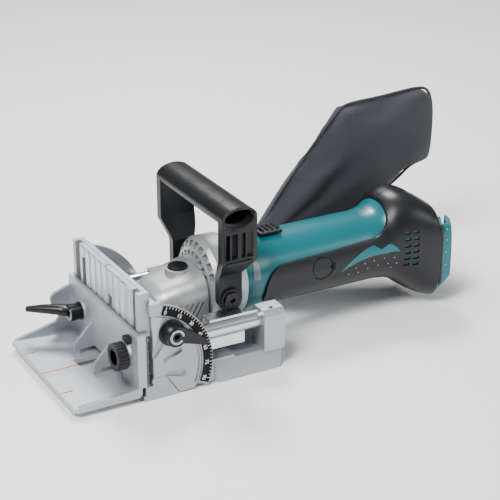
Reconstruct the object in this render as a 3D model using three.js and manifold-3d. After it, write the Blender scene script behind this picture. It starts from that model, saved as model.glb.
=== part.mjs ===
// Biscuit joiner (plate joiner), cordless, with its dust bag fitted and no battery.
// Units are millimetres. +X points to the rear (battery end), +Y to the operator's right, +Z up.
// The origin is on the underside of the sole, straight below the blade spindle with the tool at rest.

import * as THREE from 'three';
import { mergeVertices } from 'three/addons/utils/BufferGeometryUtils.js';
import Module from 'manifold-3d';

const wasm = await Module();
wasm.setup();

// ---------------------------------------------------------------- driving dimensions
const gap = 0.3;              // room between faces that touch
const slip = 0.35;            // room around a piece that slides or turns
const halfWidth = 68.5;       // half the width of the base, fence and guide
const footFront = -52;        // front edge of the sole
const baseRear = 77;          // rear edge of the base casting
const caseHeight = 19.5;      // top of the blade case
const blockHeight = 17.5;     // top of the rear block
const soleThickness = 2.6;    // blade cover plate in the sole

const bladeRadius = 50;
const bladeThickness = 3;
const bladeHeight = 10;       // blade centre above the sole
const bladeTeeth = 6;
const plunge = 21;            // travel of the motor unit

const motorHeight = 60;       // motor axis above the sole
const barrelRadius = 30.5;    // grip part of the motor housing
const wall = 2.6;             // plastic wall
const barrelFront = 62.3;     // front face of the plastic housing
const shellRear = 252;        // rear face of the plastic shells
const seatRear = 265;         // rear face of the battery seat
const tailHalfWidth = 37.8;

const hingeX = -48.5;         // fence hinge axis
const hingeZ = 25;
const hingeBarrelRadius = 4.6;
const bandInner = 48.3;       // the tilting band that carries the angle scale
const bandOuter = 58;
const sectorRadius = 47.7;    // the fixed side plate inside the band
const quadrantThickness = 4.2;
const lockRadius = 37.7;      // fence lock bolt, distance from the hinge
const lockAngle = 56;         // fence lock bolt, degrees above the rear direction at the hinge
const fenceTop = 92;
const fenceFace = -53;        // front of the ribbed facing at rest
const facingHalfWidth = 51.5;

const guideBottom = 4.5;      // lowest edge of the angle guide at rest
const guideTop = 59;
const guideFront = -111.4;    // front edge of the guide's flat
const guideBack = -53.5;      // rear face of the guide's upright
const guideThickness = 3;
const guideLift = 44;         // travel of the guide on the fence
const guideKnobY = -54.5;     // height knob of the guide
const guideKnobZ = 38.3;
const pinionRadius = 5;       // pitch radius of the height pinion
const pinionTeeth = 10;
const guideLeverY = 42;       // lock lever of the guide
const guideLeverZ = 35.4;

const tubeRadius = 7.5;        // slide tubes of the base
const tubeY = 55.8;
const tubeZ = 43;

const handleAxisX = 38.5;     // D-handle bolts
const handleReach = 59;       // half the width of the D-handle
const handleTop = 145.5;
const handleBarDepth = 32;
const handleBarHeight = 19;

const gearRadius = 16.5;      // bevel gear pitch radius
const bevelRadius = 5.5;      // bevel pinion pitch radius
const gearTeeth = 24;
const bevelTeeth = 8;
const spindleRadius = 5;

// ---------------------------------------------------------------- finishes
const finishes = {
  cast: [0xaab6bd, 0.42, 0.85],
  machined: [0xc3ccd1, 0.3, 0.9],
  steel: [0x8f969b, 0.35, 1],
  darkSteel: [0x3d4247, 0.45, 0.8],
  plastic: [0x2b3238, 0.55, 0],
  rubber: [0x30363c, 0.7, 0],
  teal: [0x13808d, 0.4, 0],
  grey: [0x565e66, 0.5, 0],
  fabric: [0x454d55, 0.95, 0],
  brass: [0xb79a4a, 0.35, 1],
  copper: [0xa5613a, 0.5, 0.9],
  scale: [0x16181a, 0.4, 0],
};

const joiner = new THREE.Group();

function add(name, finish, body) {
  const [color, roughness, metalness] = finishes[finish];
  const material = new THREE.MeshStandardMaterial({ color, roughness, metalness });
  const mesh = new THREE.Mesh(toGeometry(body), material);
  mesh.name = name;
  joiner.add(mesh);
}

// ---------------------------------------------------------------- solids from three.js geometry
function solid(geometry) {
  let merged = geometry.index ? geometry.toNonIndexed() : geometry.clone();
  merged.deleteAttribute('normal');
  merged.deleteAttribute('uv');
  merged = mergeVertices(merged, 1e-4);
  return new wasm.Manifold(new wasm.Mesh({
    numProp: 3,
    vertProperties: new Float32Array(merged.attributes.position.array),
    triVerts: new Uint32Array(merged.index.array),
  }));
}

function toGeometry(body) {
  const mesh = body.getMesh();
  const geometry = new THREE.BufferGeometry();
  geometry.setAttribute('position', new THREE.BufferAttribute(mesh.vertProperties, 3));
  geometry.setIndex(new THREE.BufferAttribute(mesh.triVerts, 1));
  return geometry;
}

function join(...bodies) {
  return bodies.reduce((sum, body) => sum.add(body));
}

function cut(body, ...tools) {
  return tools.reduce((rest, tool) => rest.subtract(tool), body);
}

function box(x0, x1, y0, y1, z0, z1) {
  const geometry = new THREE.BoxGeometry(x1 - x0, y1 - y0, z1 - z0);
  geometry.translate((x0 + x1) / 2, (y0 + y1) / 2, (z0 + z1) / 2);
  return solid(geometry);
}

function placed(geometry, axis, x, y, z) {
  if (axis === 'x') geometry.rotateZ(-Math.PI / 2);
  if (axis === 'z') geometry.rotateX(Math.PI / 2);
  geometry.translate(x, y, z);
  return solid(geometry);
}

// A cylinder from a to b along an axis, centred on the other two coordinates.
function rod(axis, radius, a, b, u, v, sides = 24, radiusB = radius) {
  const geometry = new THREE.CylinderGeometry(radiusB, radius, b - a, sides);
  const middle = (a + b) / 2;
  if (axis === 'x') return placed(geometry, 'x', middle, u, v);
  if (axis === 'y') return placed(geometry, 'y', u, middle, v);
  return placed(geometry, 'z', u, v, middle);
}

function outline(points) {
  return new THREE.Shape(points.map(([a, b]) => new THREE.Vector2(a, b)));
}

// Plates: an outline in XZ, XY or YZ made as thick as the other axis says.
function plateY(shape, y0, y1) {
  const depth = y1 - y0;
  const geometry = new THREE.ExtrudeGeometry(shape, { depth, bevelEnabled: false, curveSegments: 10 });
  geometry.rotateX(Math.PI / 2);
  geometry.translate(0, y1, 0);
  return solid(geometry);
}

function plateZ(shape, z0, z1) {
  const depth = z1 - z0;
  const geometry = new THREE.ExtrudeGeometry(shape, { depth, bevelEnabled: false, curveSegments: 10 });
  geometry.translate(0, 0, z0);
  return solid(geometry);
}

function plateX(shape, x0, x1) {
  const depth = x1 - x0;
  const geometry = new THREE.ExtrudeGeometry(shape, { depth, bevelEnabled: false, curveSegments: 10 });
  const turn = new THREE.Matrix4().makeBasis(
    new THREE.Vector3(0, 1, 0), new THREE.Vector3(0, 0, 1), new THREE.Vector3(1, 0, 0));
  geometry.applyMatrix4(turn);
  geometry.translate(x0, 0, 0);
  return solid(geometry);
}

// A body of revolution about an axis: profile points are [distance along the axis, radius].
function turned(axis, profile, u, v, sides = 32) {
  const points = profile.map(([along, radius]) => new THREE.Vector2(radius, along));
  const geometry = new THREE.LatheGeometry(points, sides);
  if (axis === 'x') return placed(geometry, 'x', 0, u, v);
  if (axis === 'y') return placed(geometry, 'y', u, 0, v);
  return placed(geometry, 'z', u, v, 0);
}

// A skin through rings of equal point counts, closed at both ends.
function loft(rings) {
  const count = rings[0].length;
  const positions = rings.flat().flatMap((p) => [p.x, p.y, p.z]);
  const index = [];
  for (let ring = 0; ring < rings.length - 1; ring += 1) {
    for (let i = 0; i < count; i += 1) {
      const a = ring * count + i;
      const b = ring * count + ((i + 1) % count);
      index.push(a, b, a + count, b, b + count, a + count);
    }
  }
  for (const [ring, forward] of [[0, false], [rings.length - 1, true]]) {
    const middle = rings[ring].reduce((sum, p) => sum.add(p), new THREE.Vector3()).divideScalar(count);
    const hub = positions.length / 3;
    positions.push(middle.x, middle.y, middle.z);
    for (let i = 0; i < count; i += 1) {
      const a = ring * count + i;
      const b = ring * count + ((i + 1) % count);
      index.push(...(forward ? [a, b, hub] : [b, a, hub]));
    }
  }
  let volume = 0;
  for (let i = 0; i < index.length; i += 3) {
    const [a, b, c] = [0, 1, 2].map((k) => new THREE.Vector3().fromArray(positions, index[i + k] * 3));
    volume += a.dot(b.cross(c));
  }
  if (volume < 0) index.reverse();
  const geometry = new THREE.BufferGeometry();
  geometry.setAttribute('position', new THREE.Float32BufferAttribute(positions, 3));
  geometry.setIndex(index);
  return solid(geometry);
}

// A piece and its copy on the other side of the tool.
function mirrored(body) {
  return body.mirror([0, 1, 0]);
}

const radians = THREE.MathUtils.degToRad;

function polar(radius, angle) {
  return [hingeX + radius * Math.cos(radians(angle)), hingeZ + radius * Math.sin(radians(angle))];
}

function arcPoints(radius, from, to, steps) {
  const points = [];
  for (let i = 0; i <= steps; i += 1) points.push(polar(radius, from + ((to - from) * i) / steps));
  return points;
}

function arcBand(inner, outer, from, to, steps) {
  return outline([...arcPoints(outer, from, to, steps), ...arcPoints(inner, to, from, steps)]);
}

// ---------------------------------------------------------------- base
const tubeBore = tubeRadius + gap;
const towerFront = 58;
const towerTop = 53;
const postFront = -42.5;
const postRear = -19.5;
const postInner = 46.4;
const tubeFront = -39.2;
const sideInner = halfWidth - quadrantThickness - gap;   // inside face of the space for the quadrants
const footLip = 4.2;
const footPost = 12.3;
const footBack = 18.2;
const caseFace = -50.2;
const chamberRadius = bladeRadius + 2.5;
const chamberTop = 14.6;
const throatHalf = 24;        // opening in the case top for the spindle bearing
const earInner = 54;
const earOuter = 63;
const pinBore = 2.2;
const [boltX, boltZ] = polar(lockRadius, lockAngle);
const boltRadius = 3;

function towerShape() {
  const shape = new THREE.Shape();
  shape.moveTo(postInner, blockHeight - 1);
  shape.lineTo(halfWidth - 1, blockHeight - 1);
  shape.lineTo(halfWidth - 1, towerTop - 6);
  shape.quadraticCurveTo(halfWidth - 2, towerTop, halfWidth - 8, towerTop);
  shape.lineTo(postInner + 4, towerTop);
  shape.lineTo(postInner, towerTop - 4);
  return shape;
}

function baseSide() {
  const foot = plateY(outline([
    [footFront, 0], [-20.8, 0], [-32.6, footBack], [-43.6, footBack], [-43.6, footPost],
    [caseFace, footPost], [caseFace, footLip], [footFront, footLip],
  ]), sideInner - 1, halfWidth);
  const post = plateY(outline([
    [postFront, caseHeight - 1], [postRear, caseHeight - 1], [postRear, boltZ - 4],
    [boltX + 4, boltZ + 8], [boltX - 4, boltZ + 8], [postFront, hingeZ + 14],
  ]), postInner, sideInner);
  const tower = plateX(towerShape(), towerFront, baseRear);
  const ear = join(
    rod('y', hingeBarrelRadius, earInner, earOuter, hingeX, hingeZ, 20),
    box(hingeX, postFront + 1, earInner, earOuter, hingeZ - hingeBarrelRadius, hingeZ + hingeBarrelRadius),
  );
  const bore = rod('x', tubeBore, tubeFront - gap, baseRear - 2, tubeY, tubeZ);
  const boltBore = rod('y', boltRadius + gap, 52, halfWidth, boltX, boltZ, 16);
  const topHole = rod('z', 2, towerTop - 8, towerTop + 1, towerFront + 9, halfWidth - 7, 12);
  const pinHole = rod('y', pinBore, earInner - 1, earOuter + 1, hingeX, hingeZ, 12);
  return cut(join(foot, post, tower, ear), bore, boltBore, topHole, pinHole);
}

const turretY = -38.5;        // depth stop turret
const turretZ = 26;
const turretFace = -36.6;     // rear face of its disc
const turretBore = 2.1;

function baseCasting() {
  const plan = outline([
    [caseFace, -sideInner], [13, -sideInner], [13, -halfWidth + 4], [17, -halfWidth],
    [baseRear - 5, -halfWidth], [baseRear, -halfWidth + 5],
    [baseRear, halfWidth - 5], [baseRear - 5, halfWidth], [17, halfWidth], [13, halfWidth - 4],
    [13, sideInner], [caseFace, sideInner],
  ]);
  const block = plateZ(plan, 0, blockHeight);
  const caseTop = box(postFront, 32, -sideInner, sideInner, blockHeight - 1, caseHeight);
  const lip = box(footFront, caseFace + 1, -halfWidth, halfWidth, 0, footLip);
  const chamfer = plateX(outline([
    [halfWidth - 4, blockHeight + 0.1], [halfWidth + 0.1, 6], [halfWidth + 0.1, blockHeight + 0.1],
  ]), 12, baseRear + 1);
  const chamber = join(
    rod('z', chamberRadius, 2, chamberTop, 0, 0, 32),
    rod('z', chamberRadius, 2, chamberTop, -plunge, 0, 32),
    box(-plunge, 0, -chamberRadius, chamberRadius, 2, chamberTop),
  );
  const mouth = box(footFront - 1, -40, -bladeRadius + 4, bladeRadius - 4, footLip + 0.5, chamberTop);
  const keepLip = box(footFront - 25, -44, -halfWidth, halfWidth, -1, footLip + 0.5);
  const sole = box(-44, 62, -56, 56, -1, soleThickness + gap);
  const throat = box(-45, 34, -throatHalf, throatHalf, 10, 30);
  const dustPort = box(40, baseRear + 1, 40, 56, 4.5, 14);
  const reliefEnd = earInner - gap;
  const hingeRelief = rod('y', hingeBarrelRadius + slip, -reliefEnd, reliefEnd, hingeX, hingeZ, 20);
  const stopLug = box(postFront, postFront + 2.6, turretY - 6, turretY + 6, caseHeight - 1, turretZ + 5.4);
  const turretHole = rod('x', turretBore, postFront - 1, postFront + 4, turretY, turretZ, 12);
  const body = cut(join(block, caseTop, lip), chamfer, mirrored(chamfer), chamber.subtract(keepLip),
    mouth, sole, throat, dustPort, hingeRelief);
  return cut(join(body, stopLug, baseSide(), mirrored(baseSide())), turretHole);
}
add('base_casting', 'cast', baseCasting());

function solePlate() {
  const plate = box(-44 + gap, 62 - gap, -56 + gap, 56 - gap, 0, soleThickness);
  const heads = [-36, 54].flatMap((x) => [-49, 49].map((y) => rod('z', 3.4, -1, 1.4, x, y, 12)));
  return cut(plate, ...heads);
}
add('sole_plate', 'machined', solePlate());

// The fixed side plate inside the angle band; the foot fills its lower front corner.
function sidePlate() {
  const shape = outline([
    [-43.3, footBack + 0.4], [-32.3, footBack + 0.4], [-20.4, 1.3],
    ...arcPoints(sectorRadius, -29.8, 83.7, 16),
  ]);
  let plate = plateY(shape, sideInner + gap, halfWidth);
  for (const [angle, from, to] of [[25, 16, 33], [-16, 18, 35], [67, 15, 29]]) {
    const pocket = new THREE.BoxGeometry(to - from, 2.4, 4.2);
    pocket.translate((from + to) / 2, halfWidth, 0);
    pocket.rotateY(-radians(angle));
    pocket.translate(hingeX, 0, hingeZ);
    plate = cut(plate, solid(pocket));
  }
  return cut(plate, rod('y', boltRadius + gap, sideInner, halfWidth + 1, boltX, boltZ, 16));
}

for (const [side, name] of [[-1, 'left'], [1, 'right']]) {
  const onSide = (body) => (side < 0 ? mirrored(body) : body);
  for (const [x, place] of [[-36, 'front'], [54, 'rear']]) {
    const socket = rod('z', 1.3, -1, 0.9, x, side * 49, 6);
    const screw = rod('z', 3.4 - gap, 0.1, 1.4 - gap, x, side * 49, 12);
    add(`sole_screw_${place}_${name}`, 'darkSteel', cut(screw, socket));
  }
  const tube = cut(
    rod('x', tubeRadius, tubeFront, baseRear - 2 - gap, side * tubeY, tubeZ),
    rod('x', tubeRadius - 2, -50, 80, side * tubeY, tubeZ),
  );
  add(`slide_tube_${name}`, 'machined', tube);
  add(`side_plate_${name}`, 'cast', onSide(sidePlate()));
  const pin = rod('y', pinBore - gap, 44, earOuter - gap, hingeX, hingeZ, 12);
  add(`hinge_pin_${name}`, 'steel', onSide(pin));
}

// Depth stop turret: a disc with steps of six heights that the motor unit's stop screw runs up to.
const turretSteps = 6;
const turretStep = 2.5;
const stepRadius = 3.4;
function depthTurret() {
  const axle = rod('x', turretBore - slip, postFront - 0.2, turretFace - 1, turretY, turretZ, 12);
  const disc = rod('x', 5.4, postFront + 2.6 + gap, turretFace, turretY, turretZ, 24);
  const steps = [];
  for (let i = 1; i < turretSteps; i += 1) {
    const angle = Math.PI / 2 + (i * 2 * Math.PI) / turretSteps;
    steps.push(rod('x', 1.4, turretFace - 1, turretFace + i * turretStep,
      turretY + stepRadius * Math.cos(angle), turretZ + stepRadius * Math.sin(angle), 10));
  }
  return join(axle, disc, ...steps);
}
add('depth_turret', 'darkSteel', depthTurret());

// ---------------------------------------------------------------- fence
const plateBack = -43.3;
const plateFront = -47.7;
const slotInner = -45.2;      // slot for the height pinion and its rack
const slotOuter = -60.9;
const leverSlot = boltRadius + gap;
const windowFrom = -14;
const windowTo = -4;

function fencePlate() {
  const back = box(plateFront, plateBack, -63.5, 63.5, hingeZ + 3, fenceTop);
  const barrel = rod('y', hingeBarrelRadius, -earInner + gap, earInner - gap, hingeX, hingeZ, 20);
  const rail = box(fenceFace, plateFront + 1, 58.5, 63.5, hingeZ + 6, fenceTop);
  const corner = box(plateFront - 1, plateBack + 1, earInner - gap, 70, hingeZ, hingeZ + 6);
  const sightWindow = box(fenceFace, plateBack + 1, windowFrom, windowTo, hingeZ + 14, 70);
  const rackSlot = box(plateFront - 0.1, plateBack + 1, slotOuter, slotInner, 30, 90);
  const boltSlot = box(plateFront - 1, plateBack + 1, guideLeverY - leverSlot, guideLeverY + leverSlot,
    guideLeverZ - leverSlot, guideLeverZ + guideLift + leverSlot);
  const pin = rod('y', pinBore, -70, 70, hingeX, hingeZ, 12);
  return cut(join(back, barrel, rail, mirrored(rail)), corner, mirrored(corner), sightWindow, rackSlot,
    boltSlot, pin);
}
add('fence_plate', 'cast', fencePlate());

function facing() {
  const plate = box(fenceFace + 1, fenceFace + 5, -facingHalfWidth, facingHalfWidth, hingeZ + 5, fenceTop);
  const ribs = [];
  const count = 9;
  for (let i = 0; i < count; i += 1) {
    const y = -facingHalfWidth + 6 + (i * (2 * facingHalfWidth - 12)) / (count - 1);
    ribs.push(box(fenceFace, fenceFace + 1.5, y - 3.4, y + 3.4, hingeZ + 7, fenceTop - 1));
  }
  const boltSlot = box(fenceFace - 1, fenceFace + 6, guideLeverY - leverSlot, guideLeverY + leverSlot,
    guideLeverZ - leverSlot, guideLeverZ + guideLift + leverSlot);
  const sightWindow = box(fenceFace - 1, fenceFace + 6, windowFrom, windowTo, hingeZ + 14, 70);
  return cut(join(plate, ...ribs), boltSlot, sightWindow);
}
add('fence_facing', 'machined', facing());

// The angle band rides on the fence: an arc round the side plate, an arm and a tab behind the fence.
function angleBand() {
  const y0 = sideInner + gap;
  const band = plateY(arcBand(bandInner, bandOuter, -24, 86, 20), y0, halfWidth);
  const arm = box(-45.4, -36, y0, halfWidth, 73.6, 83.5);
  const tab = box(plateBack + gap, -39, 50, y0 + 1, 74, 83.5);
  return join(band, arm, tab);
}
add('angle_band_left', 'cast', mirrored(angleBand()));
add('angle_band_right', 'cast', angleBand());
add('angle_scale', 'scale', plateY(arcBand(bandInner + 1.3, bandOuter - 0.6, -22, 75, 18),
  -halfWidth - gap - 0.5, -halfWidth - gap));

// Height rack of the guide, set in the fence beside the pinion's slot.
const pitch = 2 * Math.PI * pinionRadius / pinionTeeth;
const toothTip = 0.8;
const toothRoot = 1.1;
function heightRack() {
  const line = guideKnobY + pinionRadius;
  const bottom = 30.3;
  const top = 89.7;
  const points = [[slotInner - gap, bottom], [slotInner - gap, top], [line + toothRoot, top]];
  const last = Math.floor((top - 1 - guideKnobZ) / pitch - 0.5);
  for (let k = last; k >= -2; k -= 1) {
    const z = guideKnobZ + (k + 0.5) * pitch;
    points.push([line + toothRoot, z + 0.72], [line - toothTip, z + 0.22]);
    points.push([line - toothTip, z - 0.22], [line + toothRoot, z - 0.72]);
  }
  points.push([line + toothRoot, bottom]);
  return plateX(outline(points), plateFront + gap, plateBack - gap);
}
add('height_rack', 'steel', heightRack());

// Near side: a lever on the lock bolt. Far side: a knurled knob on the same bolt line.
const lockOuter = halfWidth + gap + 0.5;
function lockBolt(length) {
  return rod('y', boltRadius, 52.3, length, boltX, boltZ, 16);
}
function fenceLever() {
  const flange = rod('y', 11.2, lockOuter, lockOuter + 1.4, boltX, boltZ, 28);
  const hub = rod('y', 8.6, lockOuter + 1, lockOuter + 10.5, boltX, boltZ, 24);
  const arm = new THREE.Shape();
  arm.moveTo(0, 7.4);
  arm.lineTo(14, 6);
  arm.lineTo(30, 0.6);
  arm.quadraticCurveTo(33, -2.2, 29, -3.2);
  arm.lineTo(0, -5.6);
  const blade = new THREE.ExtrudeGeometry(arm, { depth: 5.4, bevelEnabled: false, curveSegments: 4 });
  blade.rotateX(Math.PI / 2);
  blade.rotateY(radians(21));
  blade.translate(boltX, lockOuter + 8.4, boltZ);
  const socket = rod('y', 2.6, lockOuter + 6, lockOuter + 12, boltX, boltZ, 6);
  return cut(join(lockBolt(lockOuter + 2), flange, hub, solid(blade)), socket);
}
function fenceKnob() {
  const flutes = [];
  for (let i = 0; i < 12; i += 1) {
    const angle = (i * Math.PI) / 6;
    flutes.push(rod('y', 1.1, lockOuter + 1.5, lockOuter + 12,
      boltX + 9 * Math.cos(angle), boltZ + 9 * Math.sin(angle), 6));
  }
  const knob = rod('y', 9, lockOuter, lockOuter + 11, boltX, boltZ, 24);
  return join(lockBolt(lockOuter + 2), cut(knob, ...flutes));
}
add('fence_lever', 'plastic', mirrored(fenceLever()));
add('fence_knob', 'plastic', fenceKnob());

// ---------------------------------------------------------------- angle guide
const flatTop = 8;
const guideFace = guideBack - guideThickness;
const shaftRadius = 2.4;
const knobBack = -62.3;
const bossRadius = 10;
const leverBoss = 8;

function angleGuide() {
  const upright = box(guideFace, guideBack, -halfWidth, halfWidth, guideBottom, guideTop);
  const flat = plateZ(outline([
    [guideFront, -halfWidth + 3], [guideFront + 3, -halfWidth], [guideBack - 1, -halfWidth],
    [guideBack - 1, halfWidth], [guideFront + 3, halfWidth], [guideFront, halfWidth - 3],
  ]), guideBottom, flatTop + 0.7);
  const recess = rod('z', 57.5, flatTop, flatTop + 2, -plunge, 0, 44);
  const nearRim = plateY(outline([
    [guideFace + 1, guideBottom], [guideFront + 4, guideBottom],
    [guideFront + 4, 9.4], [guideFace + 1, 12.4],
  ]), -halfWidth, -halfWidth + 3);
  const farWall = plateY(outline([
    [guideFace + 1, guideBottom], [guideFront + 4, guideBottom], [guideFront + 4, 9.4], [-82, 15],
    [-71, 17.5], [-68, 21], [-74.5, 35], [-75, 40.5], [-71.5, 44.5], [guideFace + 1, 50],
  ]), halfWidth - 3, halfWidth);
  const flange = box(guideFace + 1, -46, sideInner + gap, halfWidth, 12.6, guideTop);
  const gusset = plateY(outline([
    [guideFace + 1, flatTop - 1], [guideFace + 1, 36.5], [-73.5, 17.8], [-74.6, flatTop - 1],
  ]), 18.5, 21.3);
  const boss = rod('x', bossRadius, knobBack + gap, guideFace + 1, guideKnobY, guideKnobZ, 28);
  const hub = rod('x', leverBoss, guideFace - 1.5, guideFace + 1, guideLeverY, guideLeverZ, 24);
  const sweep = rod('z', bladeRadius + 2, flatTop, 12.6, -plunge, 0, 44);
  const sightWindow = box(-79.5, guideFace - 0.8, -2.5, 10.5, guideBottom - 1, flatTop + 2);
  const shaftHole = rod('x', shaftRadius + slip, -64, -50, guideKnobY, guideKnobZ, 16);
  const boltHole = rod('x', boltRadius + slip, -64, -50, guideLeverY, guideLeverZ, 16);
  const bevel = plateY(outline([
    [guideBack + 0.1, guideBottom - 0.1], [guideBack + 0.1, guideBottom + 3.1],
    [guideBack - 2.1, guideBottom - 0.1],
  ]), -halfWidth - 1, halfWidth + 1);
  const body = join(upright, cut(flat, recess), nearRim, farWall, flange, mirrored(flange),
    gusset, mirrored(gusset), boss, hub);
  return cut(body, sweep, sightWindow, shaftHole, boltHole, bevel);
}
add('angle_guide', 'cast', angleGuide());
add('height_scale', 'scale', box(-49, -46.4, -halfWidth - gap - 0.5, -halfWidth - gap, 13.2, 57.4));

function knurled(radius, x0, x1, y, z, count) {
  const grooves = [];
  for (let i = 0; i < count; i += 1) {
    const angle = (i * 2 * Math.PI) / count;
    const [across, up] = [radius * Math.cos(angle), radius * Math.sin(angle)];
    grooves.push(rod('x', 0.75, x0 + 1.2, x1 - 1.2, y + across, z + up, 4));
  }
  return cut(rod('x', radius, x0, x1, y, z, 36), ...grooves);
}
add('guide_knob', 'plastic', cut(
  knurled(11.4, -71, knobBack, guideKnobY, guideKnobZ, 14),
  rod('x', shaftRadius + gap, -69, knobBack + 1, guideKnobY, guideKnobZ, 16),
));

function heightPinion() {
  const points = [];
  for (let i = 0; i < pinionTeeth; i += 1) {
    const middle = (i * 2 * Math.PI) / pinionTeeth;
    const root = pinionRadius - toothRoot;
    const tip = pinionRadius + toothTip;
    for (const [radius, half] of [[root, -0.72], [tip, -0.22], [tip, 0.22], [root, 0.72]]) {
      const angle = middle + half / radius;
      points.push([guideKnobY + radius * Math.cos(angle), guideKnobZ + radius * Math.sin(angle)]);
    }
  }
  const wheel = plateX(outline(points), plateFront + gap, plateBack - gap);
  const shaft = rod('x', shaftRadius, -69 + gap, plateBack - gap, guideKnobY, guideKnobZ, 16);
  return join(wheel, shaft);
}
add('guide_pinion', 'steel', heightPinion());

// Lock lever of the guide: a clamp bolt through the fence's slot with a cranked handle in front.
function guideLever() {
  const bolt = rod('x', boltRadius, -60, -40, guideLeverY, guideLeverZ, 16);
  const nut = rod('x', 4, plateBack + gap, -39.8, guideLeverY, guideLeverZ, 6);
  const washerBack = guideFace - 1.5 - gap;
  const washer = rod('x', leverBoss, washerBack - 1, washerBack, guideLeverY, guideLeverZ, 24);
  const hub = rod('x', 7.6, -68.5, -59.5, guideLeverY, guideLeverZ, 24, 7);
  const ring = (s, halfY, halfZ, x, y, z) => [0, 1, 2, 3, 4, 5, 6, 7].map((k) => {
    const angle = (k * Math.PI) / 4;
    const across = halfY * Math.cos(angle);
    return new THREE.Vector3(x + s * across, y + across, z + halfZ * Math.sin(angle));
  });
  const arm = loft([
    ring(0.5, 5.2, 5.4, -63.5, guideLeverY + 1, guideLeverZ),
    ring(0.6, 4.8, 4.8, -74, guideLeverY + 9, guideLeverZ + 1),
    ring(0.7, 3.8, 3.8, -86, guideLeverY + 17, guideLeverZ + 1),
    ring(0.7, 2.2, 2.4, -97, guideLeverY + 24, guideLeverZ + 0.4),
  ]);
  const socket = rod('x', 2.6, -70, -64, guideLeverY, guideLeverZ, 6);
  return cut(join(bolt, nut, washer, hub, arm), socket);
}
add('guide_lever', 'plastic', guideLever());

// ---------------------------------------------------------------- motor unit: slide and casting
const plateBottom = 22;
const plateTop = 28;
const unitBottom = plateTop + gap;
const shoeFront = 12;
const shoeRear = 44;
const shoeBottom = 26;
const shoeTop = 52.5;
const bearingRadius = 18;
// The depth screw, turned back so that it clears the tallest step at full plunge.
const stopTip = turretFace + (turretSteps - 1) * turretStep + plunge + 0.5;

function carriagePlate() {
  const plate = box(-22, 46, -46, 46, plateBottom, plateTop);
  const turretRoom = box(-23, stopTip + 14, -47, turretY + 8.2, plateBottom - 1, plateTop + 1);
  const boss = rod('x', 4, stopTip + 13, stopTip + 26, turretY, turretZ + stepRadius, 20);
  const screw = rod('x', 2, stopTip, stopTip + 14, turretY, turretZ + stepRadius, 14);
  const bore = rod('z', bearingRadius + gap, plateBottom - 1, plateTop + 1, 0, 0, 40);
  const shoe = cut(
    box(shoeFront, shoeRear, 46, 59, shoeBottom, shoeTop),
    rod('x', tubeRadius + slip, shoeFront - 1, shoeRear + 1, tubeY, tubeZ, 32),
  );
  const web = box(shoeFront, shoeRear, 44, 47, plateBottom, shoeBottom + 4);
  const side = join(shoe, web);
  return join(cut(plate, turretRoom, bore), boss, screw, side, mirrored(side));
}
add('carriage_plate', 'cast', carriagePlate());

// Superellipse rings along X for the smooth castings and the plastic housing.
function ring(x, half, bottom, top, power, count = 24) {
  const points = [];
  for (let i = 0; i < count; i += 1) {
    const angle = (i * 2 * Math.PI) / count;
    const c = Math.cos(angle);
    const s = Math.sin(angle);
    const y = half * Math.sign(c) * Math.abs(c) ** (2 / power);
    const z = (top + bottom) / 2 + ((top - bottom) / 2) * Math.sign(s) * Math.abs(s) ** (2 / power);
    points.push(new THREE.Vector3(x, y, z));
  }
  return points;
}

function skin(stations, grow, from = 0, to = 0) {
  return loft(stations.map(([x, half, bottom, top, power], i) => {
    const shift = i === 0 ? from : i === stations.length - 1 ? to : 0;
    return ring(x + shift, half + grow, bottom - grow, top + grow, power);
  }));
}

const lockX = 13;             // shaft lock button
const buttonRadius = 8.2;
const bellFront = 26;
const noseStations = [
  [-21.5, 12, 32, 54, 2.4], [-20.6, 16, 30, 59, 2.6], [-17.5, 21, 28.6, 63.5, 3],
  [-10, 25, unitBottom, 67.5, 3.4],
  [2, 28, unitBottom, 71.2, 3.6], [15, 30.4, unitBottom, 75, 3.4],
  [bellFront - gap, 31, unitBottom, 78, 3.2],
];

function gearHousing() {
  const outer = join(
    skin(noseStations, 0),
    rod('z', buttonRadius + 2.6, 66, 76.4, lockX, 0, 28),
  );
  const floor = box(-30, 30, -40, 40, 20, unitBottom + 2.7);
  const cavity = skin(noseStations, -3, 2.5, 1);
  return cut(outer, cut(cavity, floor),
    rod('z', bearingRadius + gap, 20, 40, 0, 0, 40),
    rod('z', buttonRadius + slip, 60, 90, lockX, 0, 28));
}
add('gear_housing', 'cast', gearHousing());

const spindleBore = spindleRadius + slip;
add('bearing_box', 'cast', turned('z', [
  [15, spindleBore], [15, bearingRadius], [unitBottom + 2.7, bearingRadius],
  [unitBottom + 2.7, 15], [unitBottom + 9, 12], [unitBottom + 9, spindleBore], [15, spindleBore],
], 0, 0, 24));

// Front cover of the motor: a vented bell with a wall that holds the armature's front bearing.
const motorShaftRadius = 4;
const bellBore = 31;
function motorBell() {
  const shell = turned('x', [
    [bellFront, motorShaftRadius + slip], [bellFront, 19], [bellFront + 1.5, 28], [bellFront + 5, 35],
    [bellFront + 9, 38], [52, 38], [58, 35.4], [barrelFront - gap, 33.5], [barrelFront - gap, bellBore],
    [36, bellBore], [31.5, 26.5], [30.2, 19], [30.2, motorShaftRadius + slip], [bellFront, motorShaftRadius + slip],
  ], 0, motorHeight, 30);
  const windows = [];
  for (const [radius, size] of [[25, 5], [32.4, 5]]) {
    for (let angle = -64; angle <= 64; angle += 16) {
      const opening = new THREE.BoxGeometry(14, radius * 0.2, size);
      opening.translate(bellFront + 4, 0, radius);
      opening.rotateX(radians(angle));
      opening.translate(0, 0, motorHeight);
      windows.push(solid(opening));
    }
  }
  const under = box(bellFront - 1, 46.3, -50, 50, 10, unitBottom);
  const boltBore = rod('y', boltRadius + 1 + gap, -50, 50, handleAxisX, motorHeight, 20);
  return cut(shell, under, boltBore, ...windows);
}
add('motor_bell', 'cast', motorBell());

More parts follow.
